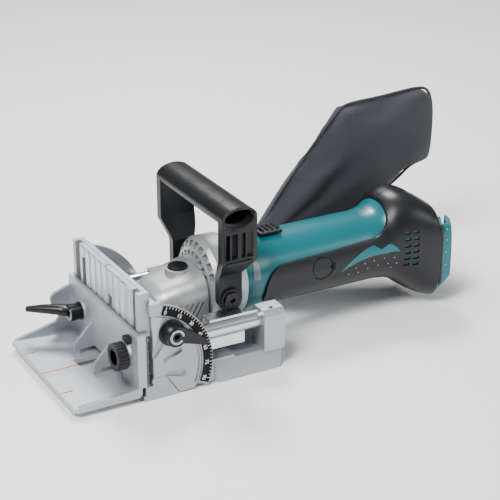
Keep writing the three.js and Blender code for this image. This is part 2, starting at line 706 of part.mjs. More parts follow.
// ---------------------------------------------------------------- plastic housing in two halves
const housingStations = [
  [barrelFront, 33.2, 26.8, 93.2, 2], [70, 33, 27, 93, 2], [84, 31, 29, 91, 2.1],
  [110, barrelRadius, 29.5, 90.5, 2.1], [190, barrelRadius, 29.5, 90.5, 2.1], [202, 31, 29.3, 93, 2.2],
  [212, 32.5, 27.8, 102, 2.4], [222, 34.5, 22.5, 105, 2.6], [232, 36.3, 15.5, 103, 2.8],
  [242, 37.3, 9.5, 98, 3.2], [shellRear, tailHalfWidth, 6.5, 90.5, 3.6],
];
const parting = 0.15;
const capX = 135;
const capZ = 61;
const capRadius = 9.5;
const bearingX = 150;
const bearingLength = 6;
const bearingOuter = 10;
const shaftEnd = 155;

function ventSlots() {
  const slots = [];
  for (let row = 0; row < 6; row += 1) {
    for (const x of [216.5, 224.5]) {
      slots.push(box(x, x + 5.5, 20, 45, 46 + row * 6, 48.6 + row * 6));
    }
  }
  return slots;
}

function housingHalf() {
  const outer = skin(housingStations, 0);
  const inner = skin(housingStations, -wall, -1, -3);
  const rib = box(bearingX - 1, bearingX + bearingLength + 1, -50, 50, 0, 120);
  const bearingEnd = bearingX + bearingLength;
  const seat = rod('x', bearingOuter + gap, bearingX - gap, bearingEnd + gap, 0, motorHeight, 28);
  const through = rod('x', motorShaftRadius + 2, bearingX - 2, bearingEnd + 2, 0, motorHeight, 20);
  const hollow = cut(inner, cut(rib, seat, through));
  const half = box(0, 300, parting, 60, -10, 130);
  const cap = rod('y', capRadius + gap, 20, 50, capX, capZ, 28);
  const switchSlot = box(87.4, 100.6, -3.6, 3.6, 80, 96);
  return cut(outer.subtract(hollow).intersect(half), cap, switchSlot, ...ventSlots());
}

function grip() {
  const outer = skin(housingStations, 1.9);
  const inner = skin(housingStations, gap);
  const field = new THREE.Shape();
  field.moveTo(78, 45);
  field.lineTo(80, 56);
  field.quadraticCurveTo(84, 69, 95, 72);
  field.lineTo(150, 74);
  field.lineTo(190, 76);
  field.quadraticCurveTo(203, 80, 206, 92);
  field.quadraticCurveTo(208, 104, 215, 112);
  field.lineTo(shellRear - gap, 112);
  field.lineTo(shellRear - gap, 0);
  field.lineTo(240, 0);
  field.quadraticCurveTo(222, 26, 205, 33);
  field.lineTo(190, 35);
  field.lineTo(110, 35);
  field.lineTo(90, 33);
  field.quadraticCurveTo(81, 34, 78, 45);
  const side = plateY(field, parting, 60);
  const cap = rod('y', capRadius + gap, 20, 50, capX, capZ, 28);
  const notch = box(232, 240, -1, 4, 95, 120);
  return cut(outer.subtract(inner).intersect(side), cap, notch, ...ventSlots());
}

function brushCap() {
  const blank = rod('y', capRadius, barrelRadius - wall - 1, 50, capX, capZ, 28);
  const key = box(capX + capRadius - 2.4, capX + capRadius + 1, 30.4, 50, capZ - 1.6, capZ + 1.6);
  return cut(blank.intersect(skin(housingStations, 1.9)), key);
}

for (const [side, name] of [[-1, 'left'], [1, 'right']]) {
  const onSide = (body) => (side < 0 ? mirrored(body) : body);
  add(`housing_${name}`, 'teal', onSide(housingHalf()));
  add(`grip_${name}`, 'rubber', onSide(grip()));
  add(`brush_cap_${name}`, 'plastic', onSide(brushCap()));
}

function slideSwitch() {
  const outer = new THREE.Shape();
  outer.absarc(0, motorHeight, 35.2, radians(75), radians(105), false);
  outer.absarc(0, motorHeight, 32.4, radians(105), radians(75), true);
  const cap = plateX(outer, 87, 108);
  const stem = box(95, 100, -3, 3, 87, 93.5);
  const ridges = [91, 95.5, 100, 104.5].map((x) => box(x - 0.8, x + 0.8, -6, 6, 93.6, 96.2));
  return join(cap, stem, ...ridges);
}
add('switch_slider', 'plastic', slideSwitch());

// Battery seat: the moulded rim the battery slides on to, with rails and a terminal block.
const pocketHalf = 30;
function batterySeat() {
  const side = plateY(outline([
    [shellRear + gap, 7], [257, 18], [seatRear, 28], [seatRear, 81], [258.5, 88.5], [shellRear + gap, 90.5],
  ]), -tailHalfWidth, tailHalfWidth);
  const tail = [tailHalfWidth, 6.5, 90.5, 3.6];
  const face = skin([[shellRear, ...tail], [seatRear + 1, ...tail]], 0);
  const pocket = box(shellRear, seatRear + 1, -pocketHalf, pocketHalf, 16, 95);
  const groove = box(256, 260.5, pocketHalf - 1, pocketHalf + 4, 24, 95);
  return cut(side.intersect(face), pocket, groove, mirrored(groove));
}
add('battery_seat', 'teal', batterySeat());

function terminalBlock() {
  const block = box(shellRear + gap, 261, -15, 15, 40, 62);
  const slots = [-10.5, -3.5, 3.5, 10.5].map((y) => box(254, 262, y - 0.8, y + 0.8, 44, 63));
  return cut(block, ...slots);
}
add('terminal_block', 'plastic', terminalBlock());

// ---------------------------------------------------------------- cutting train
const spindleTop = 60;
add('spindle', 'steel', join(
  rod('z', spindleRadius, 4, spindleTop, 0, 0, 24),
  rod('z', 15, bladeHeight + bladeThickness / 2 + gap, 14.3, 0, 0, 32),
));

function blade() {
  const shape = new THREE.Shape();
  const gullet = bladeRadius - 9;
  for (let i = 0; i < bladeTeeth; i += 1) {
    const start = (i * 2 * Math.PI) / bladeTeeth;
    const at = (radius, turn) => [radius * Math.cos(start + turn), radius * Math.sin(start + turn)];
    if (i === 0) shape.moveTo(...at(bladeRadius, 0));
    else shape.lineTo(...at(bladeRadius, 0));
    shape.lineTo(...at(bladeRadius - 0.4, 0.1));
    for (let k = 0; k <= 6; k += 1) shape.lineTo(...at(bladeRadius - 1.6, 0.14 + k * 0.1));
    shape.lineTo(...at(gullet + 2, 0.84));
    shape.lineTo(...at(gullet, 0.92));
    shape.lineTo(...at(gullet + 1, 1.0));
  }
  const disc = plateZ(shape, bladeHeight - bladeThickness / 2, bladeHeight + bladeThickness / 2);
  const bores = [rod('z', spindleRadius + gap, 0, 20, 0, 0, 24)];
  for (let i = 0; i < 4; i += 1) {
    const angle = Math.PI / 4 + (i * Math.PI) / 2;
    bores.push(rod('z', 2.6, 0, 20, 26 * Math.cos(angle), 26 * Math.sin(angle), 14));
  }
  return cut(disc, ...bores);
}
add('blade', 'machined', blade());

function lockNut() {
  const pinCircle = 8.4;        // holes for the pin spanner
  const pins = [-pinCircle, pinCircle].map((x) => rod('z', 1.6, 0, 6.2, x, 0, 12));
  return cut(rod('z', 12, 4, 8.2, 0, 0, 32), rod('z', spindleRadius + gap, 0, 20, 0, 0, 24), ...pins);
}
add('lock_nut', 'darkSteel', lockNut());

// Bevel pair: pitch cones meet where the spindle axis crosses the motor axis.
const toothSize = { tip: 0.8, root: 1.3, rootHalf: 0.95, tipHalf: 0.35 };
const coneInner = 0.64;
const clear = 0.15;
const coneLength = Math.hypot(gearRadius, bevelRadius);

// Each tooth runs along the pitch cone; (out, along) is radius and distance along the wheel's axis.
function bevelWheel(radius, along, teeth, turn, profile) {
  const body = turned('z', profile, 0, 0, 24);
  const lean = [along / coneLength, -radius / coneLength];
  const bodies = [body];
  for (let i = 0; i < teeth; i += 1) {
    const angle = turn + (i * 2 * Math.PI) / teeth;
    const rings = [coneInner, 1].map((s) => {
      const corner = (depth, half) => {
        const out = s * (radius + depth * lean[0]);
        const up = s * (along + depth * lean[1]);
        const side = s * half;
        return new THREE.Vector3(
          out * Math.cos(angle) - side * Math.sin(angle),
          out * Math.sin(angle) + side * Math.cos(angle),
          up,
        );
      };
      return [
        corner(-toothSize.root, -toothSize.rootHalf), corner(toothSize.tip, -toothSize.tipHalf),
        corner(toothSize.tip, toothSize.tipHalf), corner(-toothSize.root, toothSize.rootHalf),
      ];
    });
    bodies.push(loft(rings));
  }
  return join(...bodies);
}

function coneRoot(radius, along, s) {
  const depth = -(toothSize.root - clear);
  return [s * (along - depth * radius / coneLength), s * (radius + depth * along / coneLength)];
}

function bevelGear() {
  const inner = coneRoot(gearRadius, bevelRadius, coneInner);
  const outer = coneRoot(gearRadius, bevelRadius, 1);
  const bore = spindleRadius + gap;
  const wheel = bevelWheel(gearRadius, bevelRadius, gearTeeth, 0, [
    [inner[0], bore], inner, outer, [outer[0] + 1.2, outer[1] + 0.6], [13, 10],
    [13, bore], [inner[0], bore],
  ]);
  return wheel.mirror([0, 0, 1]).translate([0, 0, motorHeight]);
}
add('bevel_gear', 'steel', bevelGear());

function bevelPinion() {
  const inner = coneRoot(bevelRadius, gearRadius, coneInner);
  const outer = coneRoot(bevelRadius, gearRadius, 1);
  const wheel = bevelWheel(bevelRadius, gearRadius, bevelTeeth, Math.PI / bevelTeeth, [
    [inner[0], 0], inner, outer, [outer[0] + 1, outer[1]], [20.6, outer[1]], [20.6, 0],
  ]);
  return wheel.rotate([0, 90, 0]).translate([0, 0, motorHeight]);
}
add('bevel_pinion', 'steel', bevelPinion());

// ---------------------------------------------------------------- motor
const coreHole = motorShaftRadius + gap;
add('armature_shaft', 'steel', rod('x', motorShaftRadius, 20.6 + gap, shaftEnd, 0, motorHeight, 20));
function armatureCore() {
  const slots = [];
  for (let i = 0; i < 12; i += 1) {
    const angle = (i * Math.PI) / 6;
    const slot = new THREE.BoxGeometry(50, 1.6, 3);
    slot.translate(97.5, 0, 16.5);
    slot.rotateX(angle);
    slot.translate(0, 0, motorHeight);
    slots.push(solid(slot));
  }
  const stack = rod('x', 17, 75, 120, 0, motorHeight, 48);
  const hole = rod('x', coreHole, 70, 130, 0, motorHeight, 20);
  return cut(stack, hole, ...slots);
}
add('armature_core', 'copper', armatureCore());
add('commutator', 'copper', cut(
  rod('x', 11, 128, 142, 0, motorHeight, 32), rod('x', coreHole, 120, 150, 0, motorHeight, 20)));

function fan() {
  const disc = rod('x', 24, 66, 67.6, 0, motorHeight, 36);
  const hub = rod('x', 8, 59, 67, 0, motorHeight, 20);
  const vanes = [];
  for (let i = 0; i < 9; i += 1) {
    const vane = new THREE.BoxGeometry(6.4, 1.4, 17);
    vane.translate(63.2, 0, 15);
    vane.rotateX((i * 2 * Math.PI) / 9);
    vane.translate(0, 0, motorHeight);
    vanes.push(solid(vane));
  }
  return cut(join(disc, hub, ...vanes), rod('x', coreHole, 50, 70, 0, motorHeight, 20));
}
add('fan', 'plastic', fan());
add('magnet_yoke', 'darkSteel', cut(
  rod('x', 26, 72, 124, 0, motorHeight, 40), rod('x', 19, 70, 126, 0, motorHeight, 40)));
add('rear_bearing', 'steel', cut(
  rod('x', bearingOuter, bearingX, bearingX + bearingLength, 0, motorHeight, 28),
  rod('x', motorShaftRadius + slip, bearingX - 1, bearingX + bearingLength + 1, 0, motorHeight, 20)));

// ---------------------------------------------------------------- shaft lock and return springs
const buttonTravel = 3;
add('shaft_lock', 'plastic', rod('z', buttonRadius, 66.5 + buttonTravel, 78.4, lockX, 0, 28));

const coilWire = 0.55;
const coilRadius = 2.6;
const coilTurns = 6;
function returnSpring(y) {
  const rings = [];
  const steps = coilTurns * 8;
  const a = postRear + gap + coilWire;
  const b = shoeFront - gap - coilWire;
  for (let i = 0; i <= steps; i += 1) {
    const turn = (i / steps) * coilTurns * 2 * Math.PI;
    const x = a + (b - a) * (i / steps);
    const points = [];
    for (let k = 0; k < 4; k += 1) {
      const angle = (k * 2 * Math.PI) / 4;
      const radius = coilRadius + coilWire * Math.cos(angle);
      points.push(new THREE.Vector3(x + coilWire * Math.sin(angle), y + radius * Math.cos(turn),
        30.4 + radius * Math.sin(turn)));
    }
    rings.push(points);
  }
  return loft(rings);
}
add('return_spring_left', 'steel', returnSpring(-52));
add('return_spring_right', 'steel', returnSpring(52));

// ---------------------------------------------------------------- D-handle
const legOuter = 45.5;
const legInner = 38.4;
const barX = handleAxisX + 1.25;
const barZ = handleTop - handleBarHeight / 2;

function ovalY(halfX, halfZ, y0, y1) {
  const shape = new THREE.Shape();
  shape.absellipse(0, 0, halfX, halfZ, 0, 2 * Math.PI, false, 0);
  const depth = y1 - y0;
  const geometry = new THREE.ExtrudeGeometry(shape, { depth, bevelEnabled: false, curveSegments: 16 });
  geometry.rotateX(Math.PI / 2);
  geometry.translate(barX, y1, barZ);
  return solid(geometry);
}

function handleLeg() {
  const front = barX - handleBarDepth / 2;
  const rear = barX + handleBarDepth / 2;
  const side = join(
    plateY(outline([
      [28, motorHeight], [handleAxisX + 10.5, motorHeight], [handleAxisX + 10.5, 83], [53, 90],
      [rear, 98], [rear, barZ], [front, barZ], [front, 99], [28, 84],
    ]), 30, handleReach + 1),
    rod('y', 10.5, 30, handleReach + 1, handleAxisX, motorHeight, 28),
  );
  const bend = plateX(outline([
    [legInner, 40], [legOuter, 40], [legOuter, 81.5], [handleReach, 98], [handleReach, barZ],
    [handleReach - 7, barZ], [handleReach - 7, 99.5], [legInner, 82.5],
  ]), 0, 80);
  const pocket = join(
    box(front + 3.6, barX - 1.6, handleReach - 3.6, handleReach + 1, 101, 123),
    box(barX + 1.6, rear - 3.6, handleReach - 3.6, handleReach + 1, 101, 123),
  );
  return cut(side.intersect(bend), pocket);
}

function dHandle() {
  const bar = ovalY(handleBarDepth / 2, handleBarHeight / 2, -handleReach, handleReach);
  const [socketHalfX, socketHalfZ] = [handleBarDepth / 2 - 2.6, handleBarHeight / 2 - 2.4];
  const socket = ovalY(socketHalfX, socketHalfZ, handleReach - 20, handleReach + 1);
  const bore = rod('y', boltRadius + 1 + slip, -60, 60, handleAxisX, motorHeight, 20);
  const leg = handleLeg();
  return cut(join(bar, leg, mirrored(leg)), socket, mirrored(socket), bore);
}
add('d_handle', 'plastic', dHandle());

function handleBolt() {
  const head = rod('y', 7, legOuter + gap, legOuter + 4, handleAxisX, motorHeight, 28);
  const shank = rod('y', boltRadius + 1, bellBore + 0.5, legOuter + 2, handleAxisX, motorHeight, 20);
  const socket = rod('y', 2.6, legOuter + 1, legOuter + 6, handleAxisX, motorHeight, 6);
  return cut(join(head, shank), socket);
}
add('handle_bolt_left', 'darkSteel', mirrored(handleBolt()));
add('handle_bolt_right', 'darkSteel', handleBolt());

// ---------------------------------------------------------------- dust nozzle and bag
function pipe(path, grow) {
  const curve = new THREE.CatmullRomCurve3(path.map(([x, y, z]) => new THREE.Vector3(x, y, z)));
  const steps = 7;
  const rings = [];
  for (let i = 0; i <= steps; i += 1) {
    const t = i / steps;
    const centre = curve.getPoint(t);
    const ahead = curve.getTangent(t);
    const across = new THREE.Vector3(0, 1, 0).cross(ahead).normalize();
    const sideways = ahead.clone().cross(across);
    const tall = THREE.MathUtils.lerp(7, 10, Math.min(1, t * 1.6)) + grow;
    const wide = THREE.MathUtils.lerp(9.5, 10, t) + grow;
    rings.push(Array.from({ length: 16 }, (_, k) => {
      const angle = (k * Math.PI) / 8;
      return centre.clone().addScaledVector(across, tall * Math.sin(angle))
        .addScaledVector(sideways, wide * Math.cos(angle));
    }));
  }
  return loft(rings);
}
const nozzlePath = [[baseRear + 1.4, 48, 9.3], [85, 48.6, 9.6], [95, 55, 14], [103, 62, 22]];
const borePath = nozzlePath.map(([x, y, z], i) => (
  i === 0 ? [x - 2, y, z] : i === 3 ? [x + 2, y + 1.6, z + 2] : [x, y, z]));
add('dust_nozzle', 'plastic', cut(pipe(nozzlePath, 0), pipe(borePath, -2)));

// The bag hangs on the nozzle; a soft flat sack standing behind the tool.
const bagMiddle = 71;
function dustBag() {
  const edge = [
    [118, 26], [112, 32], [134, 68], [173, 118], [216, 164], [258, 165], [303, 168.5], [313, 160],
    [316, 139], [314, 99], [294, 94], [276, 79], [240, 62], [190, 38], [150, 28],
  ];
  const centre = [225, 105];
  const slices = [[-20, 0.8], [-15, 0.94], [-7, 0.99], [7, 0.99], [15, 0.94], [20, 0.8]];
  const rings = slices.map(([y, scale]) => (
    edge.map(([x, z]) => new THREE.Vector3(
      centre[0] + (x - centre[0]) * scale, bagMiddle + y, centre[1] + (z - centre[1]) * scale))));
  const neck = pipe([[98, 57.6, 16.8], [103, 62, 22], [112, 67, 30], [126, 71, 44]], 2.2);
  return cut(join(loft(rings), neck), pipe(nozzlePath, gap));
}
add('dust_bag', 'fabric', dustBag());

export default joiner;
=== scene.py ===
import math

import bmesh
import bpy
from mathutils import Matrix, Vector


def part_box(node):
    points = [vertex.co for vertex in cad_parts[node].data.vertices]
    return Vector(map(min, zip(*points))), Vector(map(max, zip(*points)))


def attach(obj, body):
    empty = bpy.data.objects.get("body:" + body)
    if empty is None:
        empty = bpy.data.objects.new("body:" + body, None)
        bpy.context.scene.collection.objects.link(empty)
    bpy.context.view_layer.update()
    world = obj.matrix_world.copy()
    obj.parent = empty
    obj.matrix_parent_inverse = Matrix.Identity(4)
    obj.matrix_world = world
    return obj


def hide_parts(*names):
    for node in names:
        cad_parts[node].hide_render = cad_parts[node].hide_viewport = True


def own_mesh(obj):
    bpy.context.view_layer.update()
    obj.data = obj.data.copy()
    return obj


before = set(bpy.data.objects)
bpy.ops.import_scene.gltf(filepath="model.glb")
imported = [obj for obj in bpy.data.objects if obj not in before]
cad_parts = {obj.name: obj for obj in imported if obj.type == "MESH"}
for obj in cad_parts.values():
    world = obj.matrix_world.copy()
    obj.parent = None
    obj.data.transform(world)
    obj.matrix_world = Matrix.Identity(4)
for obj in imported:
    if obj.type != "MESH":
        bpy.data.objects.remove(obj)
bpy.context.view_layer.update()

# ---- Camera. A low three-quarter view of the near side, from in front of the fence,
# with a long lens so that the tool's parallel edges stay nearly parallel.
aim = Vector((0.0581, -0.0426, 0.0986))
turn, rise, distance = math.radians(-29), math.radians(23.7), 1.29
towards = Vector((-math.sin(turn) * math.cos(rise), math.cos(turn) * math.cos(rise), -math.sin(rise)))
camera = bpy.data.objects.new("camera", bpy.data.cameras.new("camera"))
camera.data.sensor_width = 36
camera.data.lens = 114.1
camera.location = aim - towards * distance
camera.rotation_euler = towards.to_track_quat("-Z", "Y").to_euler()
bpy.context.collection.objects.link(camera)
bpy.context.scene.camera = camera

# ---- Studio. A plain pale floor under the tool, a big soft lamp high on the left,
# a wide fill from the right, and a strip behind that draws the top edges.
floor_mesh = bmesh.new()
bmesh.ops.create_grid(floor_mesh, x_segments=1, y_segments=1, size=6)
floor = bpy.data.objects.new("floor", bpy.data.meshes.new("floor"))
floor_mesh.to_mesh(floor.data)
floor_mesh.free()
floor.location.z = -0.0004
bpy.context.collection.objects.link(floor)
paper = bpy.data.materials.new("studio_paper")
paper.use_nodes = True
paper_shader = paper.node_tree.nodes["Principled BSDF"]
paper_shader.inputs["Roughness"].default_value = 0.9
paper_noise = paper.node_tree.nodes.new("ShaderNodeTexNoise")
paper_noise.inputs["Scale"].default_value = 40
paper_tone = paper.node_tree.nodes.new("ShaderNodeMix")
paper_tone.data_type = "RGBA"
paper_tone.inputs["A"].default_value = (0.97, 0.97, 0.97, 1)
paper_tone.inputs["B"].default_value = (0.95, 0.95, 0.955, 1)
paper.node_tree.links.new(paper_noise.outputs["Fac"], paper_tone.inputs["Factor"])
paper.node_tree.links.new(paper_tone.outputs["Result"], paper_shader.inputs["Base Color"])
floor.data.materials.append(paper)

for name, place, size, power, warmth in [
    ("key", (-0.75, -0.55, 1.35), 0.55, 36, (1, 0.985, 0.965)),
    ("fill", (1.3, -1.1, 0.8), 0.7, 9, (0.95, 0.98, 1)),
    ("strip", (0.35, 0.8, 1.2), 0.4, 22, (1, 1, 1)),
]:
    lamp = bpy.data.lights.new(name, "AREA")
    lamp.energy = power
    lamp.size = size
    lamp.color = warmth
    stand = bpy.data.objects.new(name, lamp)
    stand.location = place
    stand.rotation_euler = (aim - Vector(place)).to_track_quat("-Z", "Y").to_euler()
    bpy.context.collection.objects.link(stand)

room = bpy.data.worlds.new("studio_room")
room.use_nodes = True
bpy.context.scene.world = room
room_nodes, room_links = room.node_tree.nodes, room.node_tree.links
room_light = room_nodes["Background"]
room_light.inputs["Strength"].default_value = 0.42
room_way = room_nodes.new("ShaderNodeTexCoord")
room_split = room_nodes.new("ShaderNodeSeparateXYZ")
room_ramp = room_nodes.new("ShaderNodeValToRGB")
room_ramp.color_ramp.elements[0].position = 0.0
room_ramp.color_ramp.elements[0].color = (0.42, 0.43, 0.45, 1)
room_ramp.color_ramp.elements[1].position = 0.75
room_ramp.color_ramp.elements[1].color = (1, 1, 1, 1)
room_links.new(room_way.outputs["Generated"], room_split.inputs["Vector"])
room_links.new(room_split.outputs["Z"], room_ramp.inputs["Fac"])
room_links.new(room_ramp.outputs["Color"], room_light.inputs["Color"])

# ---- Base casting. One die casting in a blasted silver aluminium: the sole, the blade case,
# the posts and the towers that hold the slide tubes. Its edges carry a painted highlight.


def surface_group():
    """Grain, patchy tone and a painted highlight along the edges, shared by every moulded, cast and turned
    surface.
    """
    group = bpy.data.node_groups.new("worked_surface", "ShaderNodeTree")
    for socket, kind, value in [
        ("Colour", "NodeSocketColor", (0.5, 0.5, 0.5, 1)),
        ("Patch Colour", "NodeSocketColor", (0.4, 0.4, 0.4, 1)),
        ("Edge Highlight Colour", "NodeSocketColor", (0.6, 0.6, 0.6, 1)),
        ("Stretch", "NodeSocketVector", (1, 1, 1)),
        ("Patch Scale", "NodeSocketFloat", 60),
        ("Grain Scale", "NodeSocketFloat", 2500),
        ("Grain Depth", "NodeSocketFloat", 0.00002),
        ("Edge Radius", "NodeSocketFloat", 0.0005),
        ("Roughness", "NodeSocketFloat", 0.4),
    ]:
        group.interface.new_socket(socket, in_out="INPUT", socket_type=kind).default_value = value
    for socket, kind in [("Colour", "NodeSocketColor"), ("Roughness", "NodeSocketFloat"),
                         ("Normal", "NodeSocketVector")]:
        group.interface.new_socket(socket, in_out="OUTPUT", socket_type=kind)
    nodes, join = group.nodes, group.links.new
    given, result = nodes.new("NodeGroupInput"), nodes.new("NodeGroupOutput")
    place = nodes.new("ShaderNodeTexCoord")
    stretch = nodes.new("ShaderNodeVectorMath")
    stretch.operation = "MULTIPLY"
    join(place.outputs["Object"], stretch.inputs[0])
    join(given.outputs["Stretch"], stretch.inputs[1])
    patches, grain = nodes.new("ShaderNodeTexNoise"), nodes.new("ShaderNodeTexNoise")
    patches.inputs["Detail"].default_value = 4
    grain.inputs["Detail"].default_value = 2
    for texture, scale in ((patches, "Patch Scale"), (grain, "Grain Scale")):
        join(stretch.outputs[0], texture.inputs["Vector"])
        join(given.outputs[scale], texture.inputs["Scale"])
    tone = nodes.new("ShaderNodeMix")
    tone.data_type = "RGBA"
    join(patches.outputs["Fac"], tone.inputs["Factor"])
    join(given.outputs["Colour"], tone.inputs["A"])
    join(given.outputs["Patch Colour"], tone.inputs["B"])
    # Painted highlight: in patches, the edge colour is mixed in where the bevelled normal turns away from
    # the face's own.
    round_edge = nodes.new("ShaderNodeBevel")
    join(given.outputs["Edge Radius"], round_edge.inputs["Radius"])
    facing = nodes.new("ShaderNodeNewGeometry")
    agree = nodes.new("ShaderNodeVectorMath")
    agree.operation = "DOT_PRODUCT"
    join(round_edge.outputs["Normal"], agree.inputs[0])
    join(facing.outputs["Normal"], agree.inputs[1])
    highlight_reach = nodes.new("ShaderNodeMapRange")
    for socket, value in (("From Min", 0.98), ("From Max", 0.78), ("To Min", 0), ("To Max", 0.7)):
        highlight_reach.inputs[socket].default_value = value
    join(agree.outputs["Value"], highlight_reach.inputs["Value"])
    patchy_highlight = nodes.new("ShaderNodeMath")
    patchy_highlight.operation = "MULTIPLY"
    join(highlight_reach.outputs["Result"], patchy_highlight.inputs[0])
    join(patches.outputs["Fac"], patchy_highlight.inputs[1])
    highlighted = nodes.new("ShaderNodeMix")
    highlighted.data_type = "RGBA"
    join(patchy_highlight.outputs[0], highlighted.inputs["Factor"])
    join(tone.outputs["Result"], highlighted.inputs["A"])
    join(given.outputs["Edge Highlight Colour"], highlighted.inputs["B"])
    join(highlighted.outputs["Result"], result.inputs["Colour"])
    rough = nodes.new("ShaderNodeMath")
    rough.operation = "MULTIPLY_ADD"
    rough.inputs[1].default_value = 0.16
    spread = nodes.new("ShaderNodeMath")
    spread.operation = "SUBTRACT"
    spread.inputs[1].default_value = 0.08
    join(given.outputs["Roughness"], spread.inputs[0])
    join(patches.outputs["Fac"], rough.inputs[0])
    join(spread.outputs[0], rough.inputs[2])
    join(rough.outputs[0], result.inputs["Roughness"])
    bump = nodes.new("ShaderNodeBump")
    join(given.outputs["Grain Depth"], bump.inputs["Distance"])
    join(grain.outputs["Fac"], bump.inputs["Height"])
    join(round_edge.outputs["Normal"], bump.inputs["Normal"])
    join(bump.outputs["Normal"], result.inputs["Normal"])
    return group


worked_surface = surface_group()


# The third colour, edge, is a painted highlight mixed in along the material's edges.
def worked(name, colour, patch, edge, roughness, metallic=0.0, coat=0.0, depth=0.00002,
           grain=2500, patches=60, stretch=(1, 1, 1), radius=0.0005, shine=0.5):
    """A material whose colour, roughness and grain come from the shared surface group."""
    material = bpy.data.materials.new(name)
    material.use_nodes = True
    nodes, join = material.node_tree.nodes, material.node_tree.links.new
    shader = nodes["Principled BSDF"]
    shader.inputs["Metallic"].default_value = metallic
    shader.inputs["Coat Weight"].default_value = coat
    shader.inputs["Specular IOR Level"].default_value = shine
    shader.inputs["Coat Roughness"].default_value = 0.12
    surface = nodes.new("ShaderNodeGroup")
    surface.node_tree = worked_surface
    for socket, value in (("Colour", (*colour, 1)), ("Patch Colour", (*patch, 1)),
                          ("Edge Highlight Colour", (*edge, 1)), ("Stretch", stretch), ("Patch Scale", patches),
                          ("Grain Scale", grain), ("Grain Depth", depth), ("Edge Radius", radius),
                          ("Roughness", roughness)):
        surface.inputs[socket].default_value = value
    join(surface.outputs["Colour"], shader.inputs["Base Color"])
    join(surface.outputs["Roughness"], shader.inputs["Roughness"])
    join(surface.outputs["Normal"], shader.inputs["Normal"])
    return material


def piece(name, mesh, material, body, angle=32, replaced=()):
    """Puts a finished bmesh into the scene: smooth but for its sharp edges, riding on its body."""
    made = bpy.data.objects.new(name, bpy.data.meshes.new(name))
    mesh.to_mesh(made.data)
    mesh.free()
    made.data.shade_smooth()
    made.data.set_sharp_from_angle(angle=math.radians(angle))
    made.data.materials.append(material)
    bpy.context.collection.objects.link(made)
    weigh = made.modifiers.new("even_shading", "WEIGHTED_NORMAL")
    weigh.keep_sharp = True
    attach(made, body)
    if replaced:
        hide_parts(*replaced)
    return made


def frame_copy(node):
    """A merged copy of a frame node's mesh, with its flat faces made whole again."""
    mesh = bmesh.new()
    mesh.from_mesh(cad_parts[node].data)
    bmesh.ops.remove_doubles(mesh, verts=mesh.verts, dist=1e-6)
    bmesh.ops.dissolve_limit(mesh, angle_limit=math.radians(0.4), verts=mesh.verts, edges=mesh.edges)
    return mesh


def dress(nodes, material, body, angle=32):
    """Stands a smooth-shaded copy in for each frame node, under its own name."""
    return [piece(f"{node}_shown", frame_copy(node), material, body, angle, (node,))
            for node in nodes]


cast_silver = worked("blasted_silver_casting", (0.42, 0.46, 0.495), (0.35, 0.39, 0.42), (0.78, 0.80, 0.82),
                     0.44, metallic=0.75, depth=0.00003, grain=1900, patches=45)
dress(["base_casting"], cast_silver, "base")

# ---- Side plates and foot. Flat silver castings with long shallow recesses, bolted in
# between the sole and the tilting bands.
MM = 0.001


def moved(x, y, z):
    """A shift, in millimetres."""
    return Matrix.Translation(Vector((x, y, z)) * MM)


def turned(degrees, axis):
    """A turn about one axis."""
    return Matrix.Rotation(math.radians(degrees), 4, axis)


def side_span(side, inner, outer):
    """The two Y limits of something that stands at one side, the lower first."""
    return sorted((side * inner, side * outer))


def block(mesh, low, high, place=None):
    """Adds a box between two corners, in millimetres, turned and moved by place."""
    low, high = Vector(low) * MM, Vector(high) * MM
    sized = Matrix.Translation((low + high) / 2) @ Matrix.Diagonal((*(high - low), 1))
    bmesh.ops.create_cube(mesh, size=1, matrix=place @ sized if place else sized)


def sheet_outline(points, low, high):
    """A plate cut to an outline of X and Z points, from one Y to another."""
    mesh = bmesh.new()
    made = [mesh.verts.new(Vector((x, low, z)) * MM) for x, z in points]
    face = mesh.faces.new(made)
    pulled = bmesh.ops.extrude_face_region(mesh, geom=[face])["geom"]
    bmesh.ops.translate(mesh, verts=[v for v in pulled if isinstance(v, bmesh.types.BMVert)],
                        vec=(0, (high - low) * MM, 0))
    bmesh.ops.recalc_face_normals(mesh, faces=mesh.faces)
    return mesh


def bend(start, through, end, steps=8):
    """Points on a quadratic curve, without its first."""
    curve = []
    for index in range(1, steps + 1):
        t = index / steps
        curve.append(tuple((1 - t) ** 2 * a + 2 * t * (1 - t) * b + t * t * c
                           for a, b, c in zip(start, through, end)))
    return curve


def tool_object(mesh):
    """A bmesh as an object, only to cut with."""
    held = bpy.data.objects.new("cutter", bpy.data.meshes.new("cutter"))
    mesh.to_mesh(held.data)
    mesh.free()
    bpy.context.collection.objects.link(held)
    return held


def carve(mesh, steps):
    """Applies boolean steps, each (operation, bmesh), and returns the bmesh that is left."""
    work = tool_object(mesh)
    helpers = []
    for operation, tool in steps:
        helper = tool_object(tool)
        helpers.append(helper)
        step = work.modifiers.new(operation.lower(), "BOOLEAN")
        step.operation = operation
        step.solver = "EXACT"
        step.object = helper
    bpy.context.view_layer.update()
    carved = bmesh.new()
    carved.from_object(work, bpy.context.evaluated_depsgraph_get())
    for used in [work, *helpers]:
        bpy.data.objects.remove(used)
    bmesh.ops.remove_doubles(carved, verts=carved.verts, dist=2e-6)
    return carved


def round_bar(radius, low, high, x, z, sides=48, axis="Y"):
    """A round cutter or boss along Y, or along Z with axis Z where z is then its Y."""
    mesh = bmesh.new()
    bmesh.ops.create_cone(mesh, cap_ends=True, segments=sides, radius1=radius * MM, radius2=radius * MM,
                          depth=(high - low) * MM)
    middle = (low + high) / 2
    place = moved(x, middle, z) @ turned(90, "X") if axis == "Y" else moved(x, z, middle)
    bmesh.ops.transform(mesh, verts=mesh.verts, matrix=place)
    return mesh


